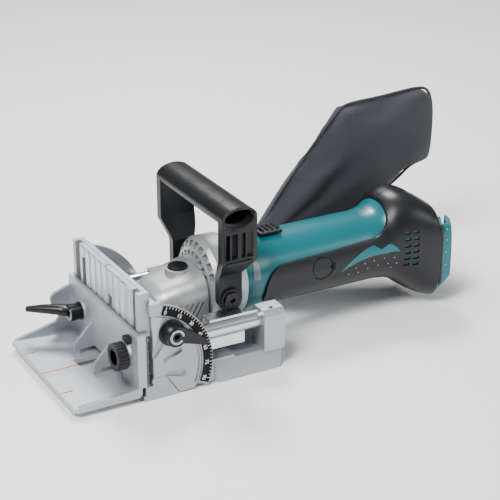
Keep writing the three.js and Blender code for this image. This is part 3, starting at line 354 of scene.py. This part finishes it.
def stadium(long, wide, steps=12):
    """Outline of a round-ended slot about the origin, as X and Z points."""
    ends = []
    for centre, start in ((long / 2 - wide / 2, -90), (wide / 2 - long / 2, 90)):
        for step in range(steps + 1):
            around = math.radians(start + 180 * step / steps)
            ends.append((centre + wide / 2 * math.cos(around), wide / 2 * math.sin(around)))
    return ends


hinge_x, hinge_z = -48.5, 25


def spoke(angle):
    """Turns the X axis up to an angle at the fence hinge, in the near side's plane."""
    return moved(hinge_x, 0, hinge_z) @ turned(-angle, "Y")


plate_outside = 70
groove_line = ([(46.4, degrees) for degrees in range(-24, 23, 2)]
               + [(44.6, degrees) for degrees in range(22, -25, -2)])
groove_outline = [(hinge_x + reach * math.cos(math.radians(degrees)),
                   hinge_z + reach * math.sin(math.radians(degrees))) for reach, degrees in groove_line]
for side, hand in ((-1, "left"), (1, "right")):
    recesses = []
    for angle, middle, length, wide in ((27, 25, 17, 5.2), (-14, 26, 17, 5.4), (62, 20, 15, 5)):
        slot = sheet_outline(stadium(length, wide), *side_span(side, 66.3, plate_outside))
        lean = turned(8 if angle > 0 else -3, "Y")
        bmesh.ops.transform(slot, verts=slot.verts, matrix=spoke(angle) @ moved(middle, 0, 0) @ lean)
        recesses.append(("DIFFERENCE", slot))
    recesses.append(("DIFFERENCE", sheet_outline(groove_outline, *side_span(side, 67.2, plate_outside))))
    plate = carve(frame_copy(f"side_plate_{hand}"), recesses)
    piece(f"side_plate_{hand}_shown", plate, cast_silver, "base", 32,
          (f"side_plate_{hand}",))

# ---- Sole plate and slide tubes. Ground and turned aluminium, bright, with fine lines
# that run along the way the tool slides.
ground_bright = worked("ground_aluminium", (0.66, 0.68, 0.70), (0.56, 0.58, 0.60), (0.88, 0.89, 0.9),
                       0.27, metallic=1.0, depth=0.000012, grain=2600, patches=140, stretch=(0.03, 1, 1))
dress(["sole_plate", "slide_tube_left", "slide_tube_right"], ground_bright, "base")

# ---- Screws, hinge pins and springs. Blackened and plain steel, held in the base. The springs
# are coiled on the slide tubes; on the tool they flatten as the motor unit is pushed forward, here each
# keeps one length on a mesh of its own.
dark_steel = worked("blackened_steel", (0.035, 0.036, 0.04), (0.022, 0.022, 0.025), (0.25, 0.25, 0.26),
                    0.38, metallic=0.9, depth=0.00001, grain=3000, patches=200)
bright_steel = worked("plain_steel", (0.52, 0.52, 0.53), (0.42, 0.42, 0.43), (0.8, 0.8, 0.8),
                      0.3, metallic=1.0, depth=0.00001, grain=3000, patches=160)
dress([f"sole_screw_{place}_{side}" for place in ("front", "rear") for side in ("left", "right")],
      dark_steel, "base")
dress(["hinge_pin_left", "hinge_pin_right"], bright_steel, "base")
for spring in dress(["return_spring_left", "return_spring_right"], bright_steel, "base"):
    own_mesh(spring)

# ---- Depth turret. A turned steel disc with a stop step for each biscuit size, on the front post.
dress(["depth_turret"], bright_steel, "turret")

# ---- Fence. A cast plate hinged on the base, with a tilting band at each side that runs
# round the side plate. The ribbed facing is an extrusion screwed to its front.
dress(["fence_plate", "angle_band_left", "angle_band_right"], cast_silver, "fence")
facing_bright = worked("extruded_facing", (0.60, 0.635, 0.66), (0.52, 0.55, 0.58), (0.86, 0.87, 0.88),
                       0.33, metallic=0.85, depth=0.000014, grain=2200, patches=90, stretch=(1, 1, 0.05))
dress(["fence_facing"], facing_bright, "fence")
dress(["height_rack"], bright_steel, "fence")

# ---- Fence centre mark. A short red paint line on the top edge of the facing.
red_paint = worked("red_mark_paint", (0.62, 0.004, 0.02), (0.5, 0.003, 0.015), (0.6, 0.02, 0.04),
                   0.6, shine=0.2, depth=0.00002, grain=2400, patches=300, radius=0.0001)
facing_low, facing_high = (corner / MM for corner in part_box("fence_facing"))
mark = bmesh.new()
block(mark, (facing_low.x + 1.1, -0.8, facing_high.z - 0.1),
      (facing_high.x - 0.1, 0.8, facing_high.z + 0.12))
piece("fence_centre_mark", mark, red_paint, "fence")

# ---- Angle scale. A black printed plate on the near band: white ticks every three degrees,
# longer ones every fifteen, with their numbers.
scale_face = -69.35
label_black = worked("printed_black_label", (0.003, 0.003, 0.004), (0.006, 0.006, 0.008), (0.1, 0.1, 0.1),
                     0.5, shine=0.15, depth=0.00001, grain=3200, patches=120)
label_white = worked("printed_white_marks", (0.82, 0.83, 0.83), (0.7, 0.71, 0.71), (0.85, 0.85, 0.85),
                     0.5, depth=0.00001, grain=3200, patches=400, radius=0.00005)
dress(["angle_scale"], label_black, "fence")


def lettering(text, height, place):
    """A number or letter as a thin raised print, as a mesh already in its place."""
    curve = bpy.data.curves.new("print", "FONT")
    curve.body, curve.size, curve.extrude, curve.offset = text, height * MM, 0.00004, 0.00006
    curve.align_x, curve.align_y = "CENTER", "CENTER"
    holder = bpy.data.objects.new("print", curve)
    bpy.context.collection.objects.link(holder)
    bpy.context.view_layer.update()
    flat = bpy.data.meshes.new_from_object(holder.evaluated_get(bpy.context.evaluated_depsgraph_get()))
    flat.transform(place)
    bpy.data.objects.remove(holder)
    return flat


zero_spoke = 72
ticks = bmesh.new()
for step in range(0, 91, 3):
    inner = 54.4 if step % 15 == 0 else 55.6
    block(ticks, (inner, scale_face - 0.04, -0.2), (57.2, scale_face + 0.1, 0.2), spoke(zero_spoke - step))
reads_outwards = Matrix(((0, 1, 0), (0, 0, -1), (-1, 0, 0))).to_4x4()
for number in range(0, 91, 15):
    number_place = spoke(zero_spoke - number) @ moved(52, scale_face, 0) @ reads_outwards
    ticks.from_mesh(lettering(str(number), 4.4, number_place))
piece("angle_scale_marks", ticks, label_white, "fence")

# ---- Fence lever and far knob. Black moulded handles on the lock bolt; a grey clip ring
# sits round the lever's hex socket.
black_moulding = worked("black_glass_filled_plastic", (0.004, 0.0045, 0.006), (0.008, 0.009, 0.011),
                        (0.05, 0.055, 0.06), 0.33, shine=0.32, depth=0.00004, grain=1500, patches=70,
                        radius=0.0007)
dress(["fence_lever"], black_moulding, "fence_lock")
dress(["fence_knob"], black_moulding, "fence_clamp")


def washer(outer, inner, thick, place, gap_angle=0, steps=48):
    """A flat ring, or a clip with a gap in it, spun from its own small section."""
    mesh = bmesh.new()
    bmesh.ops.create_grid(mesh, x_segments=1, y_segments=1, size=0.5)
    section = turned(90, "X") @ Matrix.Diagonal(((outer - inner) * MM, thick * MM, 1, 1))
    bmesh.ops.transform(mesh, verts=mesh.verts, matrix=moved((outer + inner) / 2, 0, 0) @ section)
    bmesh.ops.spin(mesh, geom=mesh.verts[:] + mesh.edges[:] + mesh.faces[:], cent=(0, 0, 0), axis=(0, 0, 1),
                   angle=math.radians(360 - gap_angle), steps=steps, use_merge=gap_angle == 0)
    bmesh.ops.remove_doubles(mesh, verts=mesh.verts, dist=1e-7)
    if gap_angle == 0:
        inside = [face for face in mesh.faces if abs(face.normal.z) < 0.1 and len(face.verts) == 4
                  and abs(face.calc_center_median().y) < 1e-9 and face.calc_center_median().x > 0]
        bmesh.ops.delete(mesh, geom=inside, context="FACES_ONLY")
    bmesh.ops.recalc_face_normals(mesh, faces=mesh.faces)
    bmesh.ops.transform(mesh, verts=mesh.verts, matrix=place)
    return mesh


lever_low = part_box("fence_lever")[0] / MM
lever_face = moved(-27.4, lever_low.y, 56.25) @ turned(90, "X")
grey_zinc = worked("grey_zinc_clip", (0.42, 0.43, 0.44), (0.34, 0.35, 0.36), (0.7, 0.7, 0.7),
                   0.35, metallic=1.0, depth=0.00001, grain=2600, patches=200)
piece("fence_lever_clip", washer(6.2, 4.4, 0.8, lever_face, gap_angle=40), grey_zinc, "fence_lock")

# ---- Angle guide. A pale casting that climbs the fence on a rack: a flat, a sight window,
# two gussets and an upright. A red centre line and two side marks are painted on the flat.
guide_silver = worked("pale_guide_casting", (0.46, 0.50, 0.53), (0.40, 0.435, 0.465), (0.82, 0.84, 0.85),
                      0.46, metallic=0.7, depth=0.000035, grain=1700, patches=40)
dress(["angle_guide"], guide_silver, "guide")
lines = bmesh.new()
flat_top, flat_front = 8.7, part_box("angle_guide")[0].x / MM
for y, half, reach in ((0, 0.7, 31.5), (-38.5, 0.65, 11), (38.5, 0.65, 11)):
    block(lines, (flat_front + 0.6, y - half, flat_top - 0.1),
          (flat_front + reach, y + half, flat_top + 0.08))
piece("guide_red_lines", lines, red_paint, "guide")

# ---- Height scale. A black strip on the guide's near flange with a white tick for every two
# millimetres and a longer one for every ten.
dress(["height_scale"], label_black, "guide")
strip_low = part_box("height_scale")[0] / MM
strip = bmesh.new()
for step in range(22):
    z = strip_low.z + 1.2 + step * 2
    length = 1.9 if step % 5 == 0 else 1.1
    block(strip, (strip_low.x + 0.2, strip_low.y - 0.06, z - 0.18),
          (strip_low.x + length, strip_low.y + 0.1, z + 0.18))
piece("height_scale_marks", strip, label_white, "guide")

# ---- Height knob and guide lever. Black moulded: a knurled knob on the rack's pinion, and a
# lock lever with a grey clip ring round its socket screw.
knob_low, knob_high = (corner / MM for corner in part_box("guide_knob"))
knob_middle = (knob_low + knob_high) / 2
knob = bmesh.new()
knurl = bmesh.ops.create_circle(knob, cap_ends=True, segments=96, radius=1)["verts"]
crest, root, knurled_length = 11.4, 10.8, 8.7
for number, vert in enumerate(knurl):
    vert.co *= crest if number % 4 < 2 else root
pulled = bmesh.ops.extrude_face_region(knob, geom=knob.faces[:])["geom"]
bmesh.ops.translate(knob, verts=[v for v in pulled if isinstance(v, bmesh.types.BMVert)],
                    vec=(0, 0, knurled_length))
bmesh.ops.inset_region(knob, faces=[f for f in knob.faces if f.calc_center_median().z > 8], thickness=1.6)
for face in [f for f in knob.faces if f.calc_center_median().z > 8 and len(f.verts) > 8]:
    bmesh.ops.translate(knob, verts=face.verts, vec=(0, 0, 0.9))
    bmesh.ops.inset_region(knob, faces=[face], thickness=3.2)
    bmesh.ops.translate(knob, verts=face.verts, vec=(0, 0, -0.5))
knob_place = moved(knob_high.x, knob_middle.y, knob_middle.z) @ turned(-90, "Y") @ Matrix.Scale(MM, 4)
bmesh.ops.transform(knob, verts=knob.verts, matrix=knob_place)
bmesh.ops.recalc_face_normals(knob, faces=knob.faces)
piece("guide_knob_knurled", knob, black_moulding, "height_knob", 30, ("guide_knob",))
clip = bmesh.new()
block(clip, (-61.9, knob_middle.y - 3.6, knob_high.z + 0.3),
      (-57, knob_middle.y + 3.6, knob_high.z + 4.2))
piece("height_knob_clip", clip, black_moulding, "guide")
dress(["guide_pinion"], bright_steel, "height_knob")
dress(["guide_lever"], black_moulding, "guide_lock", 50)
guide_lever_face = moved(-68.6, 42, 35.4) @ turned(-90, "Y")
piece("guide_lever_clip", washer(6.4, 4.6, 0.9, guide_lever_face, gap_angle=40), grey_zinc, "guide_lock")

# ---- Motor carriage. The plate and shoes that slide on the two tubes, machined aluminium.
dress(["carriage_plate"], ground_bright, "motor_unit")
dress(["bearing_box"], cast_silver, "motor_unit")
dress(["rear_bearing"], bright_steel, "motor_unit")
dress(["magnet_yoke"], dark_steel, "motor_unit")

# ---- Gear housing. A smooth silver die casting over the bevel gears, polished more than the base.
gear_silver = worked("satin_gear_casting", (0.52, 0.535, 0.55), (0.46, 0.475, 0.49), (0.82, 0.83, 0.84),
                     0.42, metallic=0.7, depth=0.000018, grain=2300, patches=50)


def station_at(stations, x):
    """Half width, bottom, top and squareness of a lofted body at a distance along it."""
    for (x0, *first), (x1, *second) in zip(stations, stations[1:]):
        if x <= x1:
            t = max(0, (x - x0) / (x1 - x0))
            return [a + (b - a) * t for a, b in zip(first, second)]
    return stations[-1][1:]


def loft(stations, grow, start, end, ease, step=1.6, around=112):
    """A tube of rings from start to end, larger by grow, with the stations' corners eased off."""
    mesh = bmesh.new()
    count = max(2, round((end - start) / step))
    loops = []
    for index in range(count + 1):
        x = start + (end - start) * index / count
        spread = [station_at(stations, x + ease * offset / 4) for offset in range(-4, 5)]
        half, bottom, top, power = (sum(values) / len(spread) for values in zip(*spread))
        made = bmesh.ops.create_circle(mesh, segments=around, radius=1)["verts"]
        for vert in made:
            c, s = vert.co.x, vert.co.y
            y = (half + grow) * math.copysign(abs(c) ** (2 / power), c)
            z = (bottom + top) / 2 + ((top - bottom) / 2 + grow) * math.copysign(abs(s) ** (2 / power), s)
            vert.co = Vector((x, y, z)) * MM
        loops.append(list({edge for vert in made for edge in vert.link_edges}))
    for first, second in zip(loops, loops[1:]):
        bmesh.ops.bridge_loops(mesh, edges=first + second)
    return mesh, loops


def closed_loft(stations, grow, start, end, ease):
    """The same tube with both ends filled."""
    mesh, loops = loft(stations, grow, start, end, ease)
    for loop in (loops[0], loops[-1]):
        bmesh.ops.contextual_create(mesh, geom=loop)
    bmesh.ops.recalc_face_normals(mesh, faces=mesh.faces)
    return mesh


nose_stations = [
    (-21.5, 10, 33, 52, 2.4), (-20.9, 14.5, 31, 57, 2.5), (-19.5, 18.5, 29.5, 61, 2.7),
    (-16.5, 22, 28.5, 64.5, 3), (-10, 25.4, 28.3, 67.8, 3.4), (2, 28, 28.3, 71.4, 3.6),
    (15, 30.4, 28.3, 75, 3.4), (25.7, 31, 28.3, 78, 3.2),
]
lock_x = 13
cuts = [("UNION", round_bar(10.8, 66, 76.6, lock_x, 0, axis="Z")),
        ("DIFFERENCE", closed_loft(nose_stations, -3, -18.5, 27, 0)),
        ("DIFFERENCE", round_bar(18.3, 20, 34, 0, 0, axis="Z")),
        ("DIFFERENCE", round_bar(8.55, 60, 90, lock_x, 0, axis="Z"))]
for side in (-1, 1):
    fins = bmesh.new()
    for x in (-1 + number * 4.6 for number in range(5)):
        block(fins, (-0.8, side * 31 - 3.5, -9), (0.8, side * 31 + 3.5, 9),
              moved(x, 0, 47) @ turned(28, "Y"))
    cuts.append(("DIFFERENCE", fins))
gear_case = carve(closed_loft(nose_stations, 0, -21.5, 25.7, 0.6), cuts)
piece("gear_case", gear_case, gear_silver, "motor_unit", 35, ("gear_housing",))

# ---- Motor bell. The bright ring between the gears and the barrel, with cooling windows and
# two black moulded baffles behind them.
dress(["motor_bell"], gear_silver, "motor_unit", 38)
for name, outer, inner, x in (("bell_front_baffle", 29.4, 20.5, 30.6),
                              ("bell_rear_baffle", 33.6, 29.6, 35.2)):
    baffle = washer(outer, inner, 0.6, moved(x, 0, 60) @ turned(90, "Y"), steps=72)
    piece(name, baffle, black_moulding, "motor_unit")

# ---- Shaft lock. A black button in the gear housing's collar.
dress(["shaft_lock"], black_moulding, "lock_button")

# ---- Cutter. A six-tooth blade on a steel spindle behind the fence, with its gear.
dress(["spindle", "blade", "lock_nut", "bevel_gear"], bright_steel, "cutter")

# ---- Armature. Steel shaft, pinion and laminated core, a copper commutator and the fan.
copper = worked("drawn_copper", (0.62, 0.27, 0.12), (0.5, 0.21, 0.09), (0.85, 0.5, 0.3),
                0.3, metallic=1.0, depth=0.00001, grain=2600, patches=200)
dress(["bevel_pinion", "armature_shaft", "armature_core"], bright_steel, "armature")
dress(["commutator"], copper, "armature")
dress(["fan"], black_moulding, "armature")

# ---- Barrel shells. Two teal mouldings, screwed together along the middle, that swell into
# the battery foot. Glossy enough to show long highlights.
barrel_stations = [  # distance along, half width, bottom, top, squareness
    (62.3, 33.2, 26.8, 93.2, 2), (70, 33, 27, 93, 2), (84, 31, 29, 91, 2.1), (110, 30.5, 29.5, 90.5, 2.1),
    (190, 30.5, 29.5, 90.5, 2.1), (202, 31, 29.3, 93, 2.2), (212, 32.5, 27.8, 102, 2.4),
    (222, 34.5, 22.5, 105, 2.6), (232, 36.3, 15.5, 103, 2.8), (242, 37.3, 9.5, 98, 3.2),
    (252, 37.8, 6.5, 90.5, 3.6),
]
barrel_front, barrel_rear, barrel_ease = 62.3, 252, 4
teal_gloss = worked("teal_moulded_shell", (0.001, 0.135, 0.165), (0.001, 0.110, 0.135), (0.02, 0.24, 0.27),
                    0.32, coat=0.12, shine=0.4, depth=0.000012, grain=2600, patches=35, radius=0.0006)
shell, _ = loft(barrel_stations, 0, barrel_front, barrel_rear, barrel_ease)
bmesh.ops.recalc_face_normals(shell, faces=shell.faces)
bmesh.ops.solidify(shell, geom=shell.faces[:], thickness=2.2 * MM)
rear_wall = bpy.data.meshes.new("rear_wall")
closed_loft(barrel_stations, -2.1, 249.6, barrel_rear, barrel_ease).to_mesh(rear_wall)
shell.from_mesh(rear_wall)
bpy.data.meshes.remove(rear_wall)
piece("barrel_shell", shell, teal_gloss, "motor_unit", 40,
      ("housing_left", "housing_right"))

# ---- Grip panels. Soft black over-moulding let into each side of the barrel, with two rows of
# six vents at the tail, a notch on top and a round hole for the brush cap. A teal stripe and
# a dozen pale dots are moulded into it.
field = [(78, 45), (80, 56), *bend((80, 56), (84, 69), (95, 72)), (150, 74), (190, 76),
         *bend((190, 76), (203, 80), (206, 92)), *bend((206, 92), (208, 104), (215, 112)),
         (251.7, 112), (251.7, 0), (240, 0), *bend((240, 0), (222, 26), (205, 33)), (190, 35), (110, 35),
         (90, 33), *bend((90, 33), (81, 34), (78, 45))[:-1]]
soft_black = worked("soft_grip_rubber", (0.005, 0.0055, 0.007), (0.009, 0.010, 0.013), (0.04, 0.044, 0.05),
                    0.38, shine=0.36, depth=0.00005, grain=1300, patches=60, radius=0.0009)
brush_x, brush_z = 135, 61
swoosh = [(153, 53), *bend((153, 53), (164, 64), (179, 69.6)), (187, 71.2), (194.5, 66), (202, 70),
          *bend((202, 70), (208.5, 68), (212, 61.5)), *bend((212, 61.5), (206, 63), (200, 61.5)),
          *bend((200, 61.5), (174, 64), (153, 53))[:-1]]
dot_places = [(168.4, 54.2), (177.5, 56.4), (186.7, 57.4), (197, 57.6), (207, 56.4), (171.6, 49),
              (180.8, 51), (191.1, 51.8), (201.4, 51.4), (210, 50.2), (161.5, 49.2), (205, 46.5)]
pale_dot = worked("pale_grip_dots", (0.32, 0.36, 0.38), (0.24, 0.27, 0.29), (0.5, 0.5, 0.5), 0.4,
                  depth=0.00001, patches=300, radius=0.0001)


def skin(outer, inner, start, end, past, cuts):
    """A layer over the barrel between two heights above its stations, cut by the steps given."""
    core = closed_loft(barrel_stations, inner, start - past[0], end + past[1], barrel_ease)
    first, *others = cuts
    return carve(closed_loft(barrel_stations, outer, start, end, barrel_ease),
                 [first, ("DIFFERENCE", core), *others])


def dots_at(places, radius, low, high):
    """Small round pegs along Y at X and Z points, from one Y to another, in one bmesh."""
    mesh = bmesh.new()
    for x, z in places:
        place = moved(x, (low + high) / 2, z) @ turned(90, "X")
        bmesh.ops.create_cone(mesh, cap_ends=True, segments=16, radius1=radius * MM, radius2=radius * MM,
                              depth=(high - low) * MM, matrix=place)
    return mesh


for side, hand in ((-1, "left"), (1, "right")):
    low, high = side_span(side, 0.15, 60)
    inside, outside = side_span(side, 20, 45)
    vents = bmesh.new()
    for z in (46 + row * 6 for row in range(6)):
        for x in (216.5, 224.5):
            block(vents, (x, inside, z), (x + 5.5, outside, z + 2.6))
    notch = bmesh.new()
    block(notch, (232, -4, 95), (240, 4, 120))
    cap_hole, stripe_hole = (round_bar(radius, *side_span(side, 20, 50), brush_x, brush_z)
                             for radius in (10.4, 10.6))
    panel = skin(1.9, 0.02, 76, 254, (6, 2), [("INTERSECT", sheet_outline(field, low, high)),
                                              ("DIFFERENCE", vents), ("DIFFERENCE", notch),
                                              ("DIFFERENCE", cap_hole)])
    piece(f"grip_{hand}_panel", panel, soft_black, "motor_unit", 35, (f"grip_{hand}",))
    inlay = skin(2.15, 1.7, 76, 254, (6, 2), [("INTERSECT", sheet_outline(swoosh, low, high)),
                                              ("DIFFERENCE", stripe_hole)])
    piece(f"grip_{hand}_stripe", inlay, teal_gloss, "motor_unit", 35)
    pegs = dots_at(dot_places, 0.5, side * 30 - 8, side * 30 + 8)
    studs = skin(2.3, 1.6, 150, 230, (2, 2), [("INTERSECT", pegs)])
    piece(f"grip_{hand}_dots", studs, pale_dot, "motor_unit", 35)

# ---- Barrel window. A small smoked window high on the near side, close behind the motor bell.
smoked = worked("smoked_window", (0.09, 0.12, 0.14), (0.22, 0.26, 0.28), (0.3, 0.33, 0.35), 0.3, coat=0.2,
                depth=0.000005, patches=90)
pane_outline = [(67, 66), (68, 65), (73.6, 64.4), (74.6, 65.4), (74.6, 77.6), (73.6, 78.8), (70, 79.8),
                (68.8, 79.2)]
window_pane = skin(0.5, -0.4, 62.8, 90, (2.8, 2), [("INTERSECT", sheet_outline(pane_outline, -40, -10))])
piece("barrel_window", window_pane, smoked, "motor_unit", 35)

# ---- Brush caps. Round black plugs over the motor brushes, each with three small key ribs at
# its rear edge.
dress(["brush_cap_left", "brush_cap_right"], soft_black, "motor_unit")
for side, hand in ((-1, "near"), (1, "far")):
    low, high = side_span(side, 31.6, 32.9)
    keys = bmesh.new()
    for z in (58.6, 61, 63.4):
        block(keys, (144.2, low, z - 0.8), (147.2, high, z + 0.8))
    piece(f"brush_cap_key_{hand}", keys, label_black, "motor_unit")

# ---- Slide switch. A black ribbed pad that slides along the top of the barrel.
dress(["switch_slider"], black_moulding, "switch")

# ---- Battery foot. The teal rim that the battery slides on to, with its black contact block,
# a black strip and four pale dots at each side.
dress(["battery_seat"], teal_gloss, "motor_unit")
strip_outline = [(252.4, 21), (255.2, 24), (255.2, 77), (252.4, 79.5)]
for side, hand in ((-1, "near"), (1, "far")):
    slot_plate = sheet_outline(strip_outline, *side_span(side, 37.4, 38.15))
    piece(f"seat_slot_{hand}", slot_plate, black_moulding, "motor_unit")
    studs = dots_at([(259, z) for z in (40, 52, 64, 74)], 0.7, *side_span(side, 37.6, 38.3))
    piece(f"seat_dots_{hand}", studs, pale_dot, "motor_unit")
dress(["terminal_block"], black_moulding, "motor_unit")

# ---- D-handle. One black glass-filled moulding over the gear housing: an oval bar with
# hollow ends on two legs that taper to the pivot bolts.
dress(["d_handle"], black_moulding, "handle", 40)
ribs = bmesh.new()
for side in (-1, 1):
    low, high = side_span(side, 55.2, 58.6)
    for x in (32, 46):
        block(ribs, (x - 0.7, low, 101), (x + 0.7, high, 123))
    low, high = side_span(side, 58.6, 59.6)
    block(ribs, (28, low, 96.5), (51, high, 98.4))
piece("handle_ribs", ribs, black_moulding, "handle")
dress(["handle_bolt_left", "handle_bolt_right"], dark_steel, "motor_unit")
for side, hand in ((-1, "near"), (1, "far")):
    boss = washer(9.4, 7.4, 2.2, moved(38.5, side * 46.4, 60) @ turned(90, "X"))
    piece(f"handle_boss_{hand}", boss, black_moulding, "handle")

# ---- Dust nozzle. A black elbow pushed into the rear of the base, where the chips leave.
dress(["dust_nozzle"], black_moulding, "base", 40)

# ---- Dust bag. A slate woven sack clipped over the nozzle: two cloth faces sewn together round
# the edge with a piped seam, a little puffed, with long soft folds from the neck.


def weave_group():
    """Crossing threads on Object coordinates, for cloth."""
    group = bpy.data.node_groups.new("plain_weave", "ShaderNodeTree")
    count = group.interface.new_socket("Threads", in_out="INPUT", socket_type="NodeSocketFloat")
    count.default_value = 1500
    group.interface.new_socket("Height", in_out="OUTPUT", socket_type="NodeSocketFloat")
    nodes, join = group.nodes, group.links.new
    given, result = nodes.new("NodeGroupInput"), nodes.new("NodeGroupOutput")
    place = nodes.new("ShaderNodeTexCoord")
    heights = []
    for direction in ("X", "Z"):
        thread = nodes.new("ShaderNodeTexWave")
        thread.bands_direction = direction
        thread.inputs["Distortion"].default_value = 0.6
        join(place.outputs["Object"], thread.inputs["Vector"])
        join(given.outputs["Threads"], thread.inputs["Scale"])
        heights.append(thread.outputs["Fac"])
    cross = nodes.new("ShaderNodeMath")
    cross.operation = "MAXIMUM"
    join(heights[0], cross.inputs[0])
    join(heights[1], cross.inputs[1])
    join(cross.outputs[0], result.inputs["Height"])
    return group


weave = weave_group()


def cloth(name, colour, patch, sheen):
    """Woven cloth: thread bump, faded patches and a soft sheen."""
    material = bpy.data.materials.new(name)
    material.use_nodes = True
    nodes, join = material.node_tree.nodes, material.node_tree.links.new
    shader = nodes["Principled BSDF"]
    shader.inputs["Sheen Weight"].default_value = sheen
    shader.inputs["Sheen Roughness"].default_value = 0.4
    surface = nodes.new("ShaderNodeGroup")
    surface.node_tree = worked_surface
    for socket, value in (("Colour", (*colour, 1)), ("Patch Colour", (*patch, 1)),
                          ("Edge Highlight Colour", (*patch, 1)), ("Patch Scale", 26), ("Grain Scale", 900),
                          ("Grain Depth", 0.00006), ("Edge Radius", 0.0001), ("Roughness", 0.86)):
        surface.inputs[socket].default_value = value
    threads = nodes.new("ShaderNodeGroup")
    threads.node_tree = weave
    threads.inputs["Threads"].default_value = 420
    dark = nodes.new("ShaderNodeMix")
    dark.data_type = "RGBA"
    dark.blend_type = "MULTIPLY"
    dark.inputs["Factor"].default_value = 0.35
    join(surface.outputs["Colour"], dark.inputs["A"])
    join(threads.outputs["Height"], dark.inputs["B"])
    join(dark.outputs["Result"], shader.inputs["Base Color"])
    bump = nodes.new("ShaderNodeBump")
    bump.inputs["Distance"].default_value = 0.0002
    join(threads.outputs["Height"], bump.inputs["Height"])
    join(surface.outputs["Normal"], bump.inputs["Normal"])
    join(bump.outputs["Normal"], shader.inputs["Normal"])
    join(surface.outputs["Roughness"], shader.inputs["Roughness"])
    return material


slate_cloth = cloth("slate_dust_cloth", (0.024, 0.028, 0.035), (0.038, 0.043, 0.052), 0.08)
sack = bmesh.new()
sack.from_mesh(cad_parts["dust_bag"].data)
bmesh.ops.remove_doubles(sack, verts=sack.verts, dist=1e-6)
bag_middle, neck_end, thinner = 0.071, 0.128, 0.72
for vert in sack.verts:
    if vert.co.x > neck_end:
        vert.co.y = bag_middle + (vert.co.y - bag_middle) * thinner
blank = tool_object(sack)
remesh = blank.modifiers.new("even_mesh", "REMESH")
remesh.mode = "VOXEL"
remesh.voxel_size = 0.0035
bpy.context.view_layer.update()
sack = bmesh.new()
sack.from_object(blank, bpy.context.evaluated_depsgraph_get())
bpy.data.objects.remove(blank)
sewn = tool_object(sack)
neck = sewn.vertex_groups.new(name="neck")
neck.add([v.index for v in sewn.data.vertices if v.co.x < 0.13 and v.co.z < 0.06], 1, "REPLACE")
air = sewn.modifiers.new("air", "CLOTH")
air.settings.quality = 6
air.settings.mass = 0.2
air.settings.tension_stiffness = air.settings.compression_stiffness = 12
air.settings.bending_stiffness = 0.3
air.settings.use_pressure = True
air.settings.uniform_pressure_force = 4
air.settings.effector_weights.gravity = 0
air.settings.vertex_group_mass = "neck"
start, most_moved = [v.co.copy() for v in sewn.data.vertices], 0.005
for step in range(1, 21):
    bpy.context.scene.frame_set(step)
settled = sewn.evaluated_get(bpy.context.evaluated_depsgraph_get()).data
moves = [v.co - first for v, first in zip(settled.vertices, start)]
bpy.context.scene.frame_set(1)
sewn.modifiers.remove(air)
sack = bmesh.new()
sack.from_mesh(sewn.data)
for vert, move in zip(sack.verts, moves):
    vert.co += move * min(1, most_moved / max(move.length, 1e-9))
bpy.data.objects.remove(sewn)
bmesh.ops.smooth_vert(sack, verts=sack.verts, factor=0.5, use_axis_x=True, use_axis_y=True, use_axis_z=True)


def fold(co):
    """How far the cloth stands in or out at a point, in long folds that fan out from the neck."""
    along = Vector((co.x - 0.112, 0, co.z - 0.03))
    reach = along.length
    angle = math.atan2(along.z, along.x)
    fade = min(1, reach / 0.05) * (1 - 0.35 * min(1, reach / 0.25))
    wander = 0.35 * math.sin(reach * 31) + 0.2 * math.sin(reach * 57 + 1.3)
    return fade * (0.0021 * math.sin(angle * 16 + wander * 3) + 0.0012 * math.sin(angle * 29 + reach * 38)
                   + 0.0009 * math.sin(co.x * 88 + co.z * 61))


for vert in sack.verts:
    outward = 1 if vert.co.y > bag_middle else -1
    off_seam = min(1, abs(vert.co.y - bag_middle) / 0.012)
    vert.co.y += outward * fold(vert.co) * off_seam
    vert.co.x += 0.0012 * math.sin(vert.co.z * 95) * (1 - off_seam)
bag = piece("dust_bag_cloth", sack, slate_cloth, "base", 180, ("dust_bag",))
soften = bag.modifiers.new("soft_cloth", "SUBSURF")
soften.levels = soften.render_levels = 1

seam = bpy.data.curves.new("dust_bag_piping", "CURVE")
seam.dimensions = "3D"
seam.bevel_depth, seam.bevel_resolution = 0.0013, 4
edge_line = [(116, 34), (134, 68), (173, 118), (212, 161), (222, 165.6), (258, 166), (303, 169.4),
             (313, 161), (316.6, 139), (314.6, 99), (309, 95.4), (294, 93), (276, 78), (240, 61), (190, 37),
             (150, 27)]
run = seam.splines.new("NURBS")
run.points.add(len(edge_line) - 1)
run.order_u, run.use_endpoint_u = 3, True
for point, (x, z) in zip(run.points, edge_line):
    inwards = Vector((225 - x, 105 - z)).normalized() * 1.2
    point.co = ((x + inwards.x) * MM, bag_middle, (z + inwards.y) * MM, 1)
piping = bpy.data.objects.new("dust_bag_piping", seam)
bpy.context.collection.objects.link(piping)
seam.materials.append(slate_cloth)
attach(piping, "base")
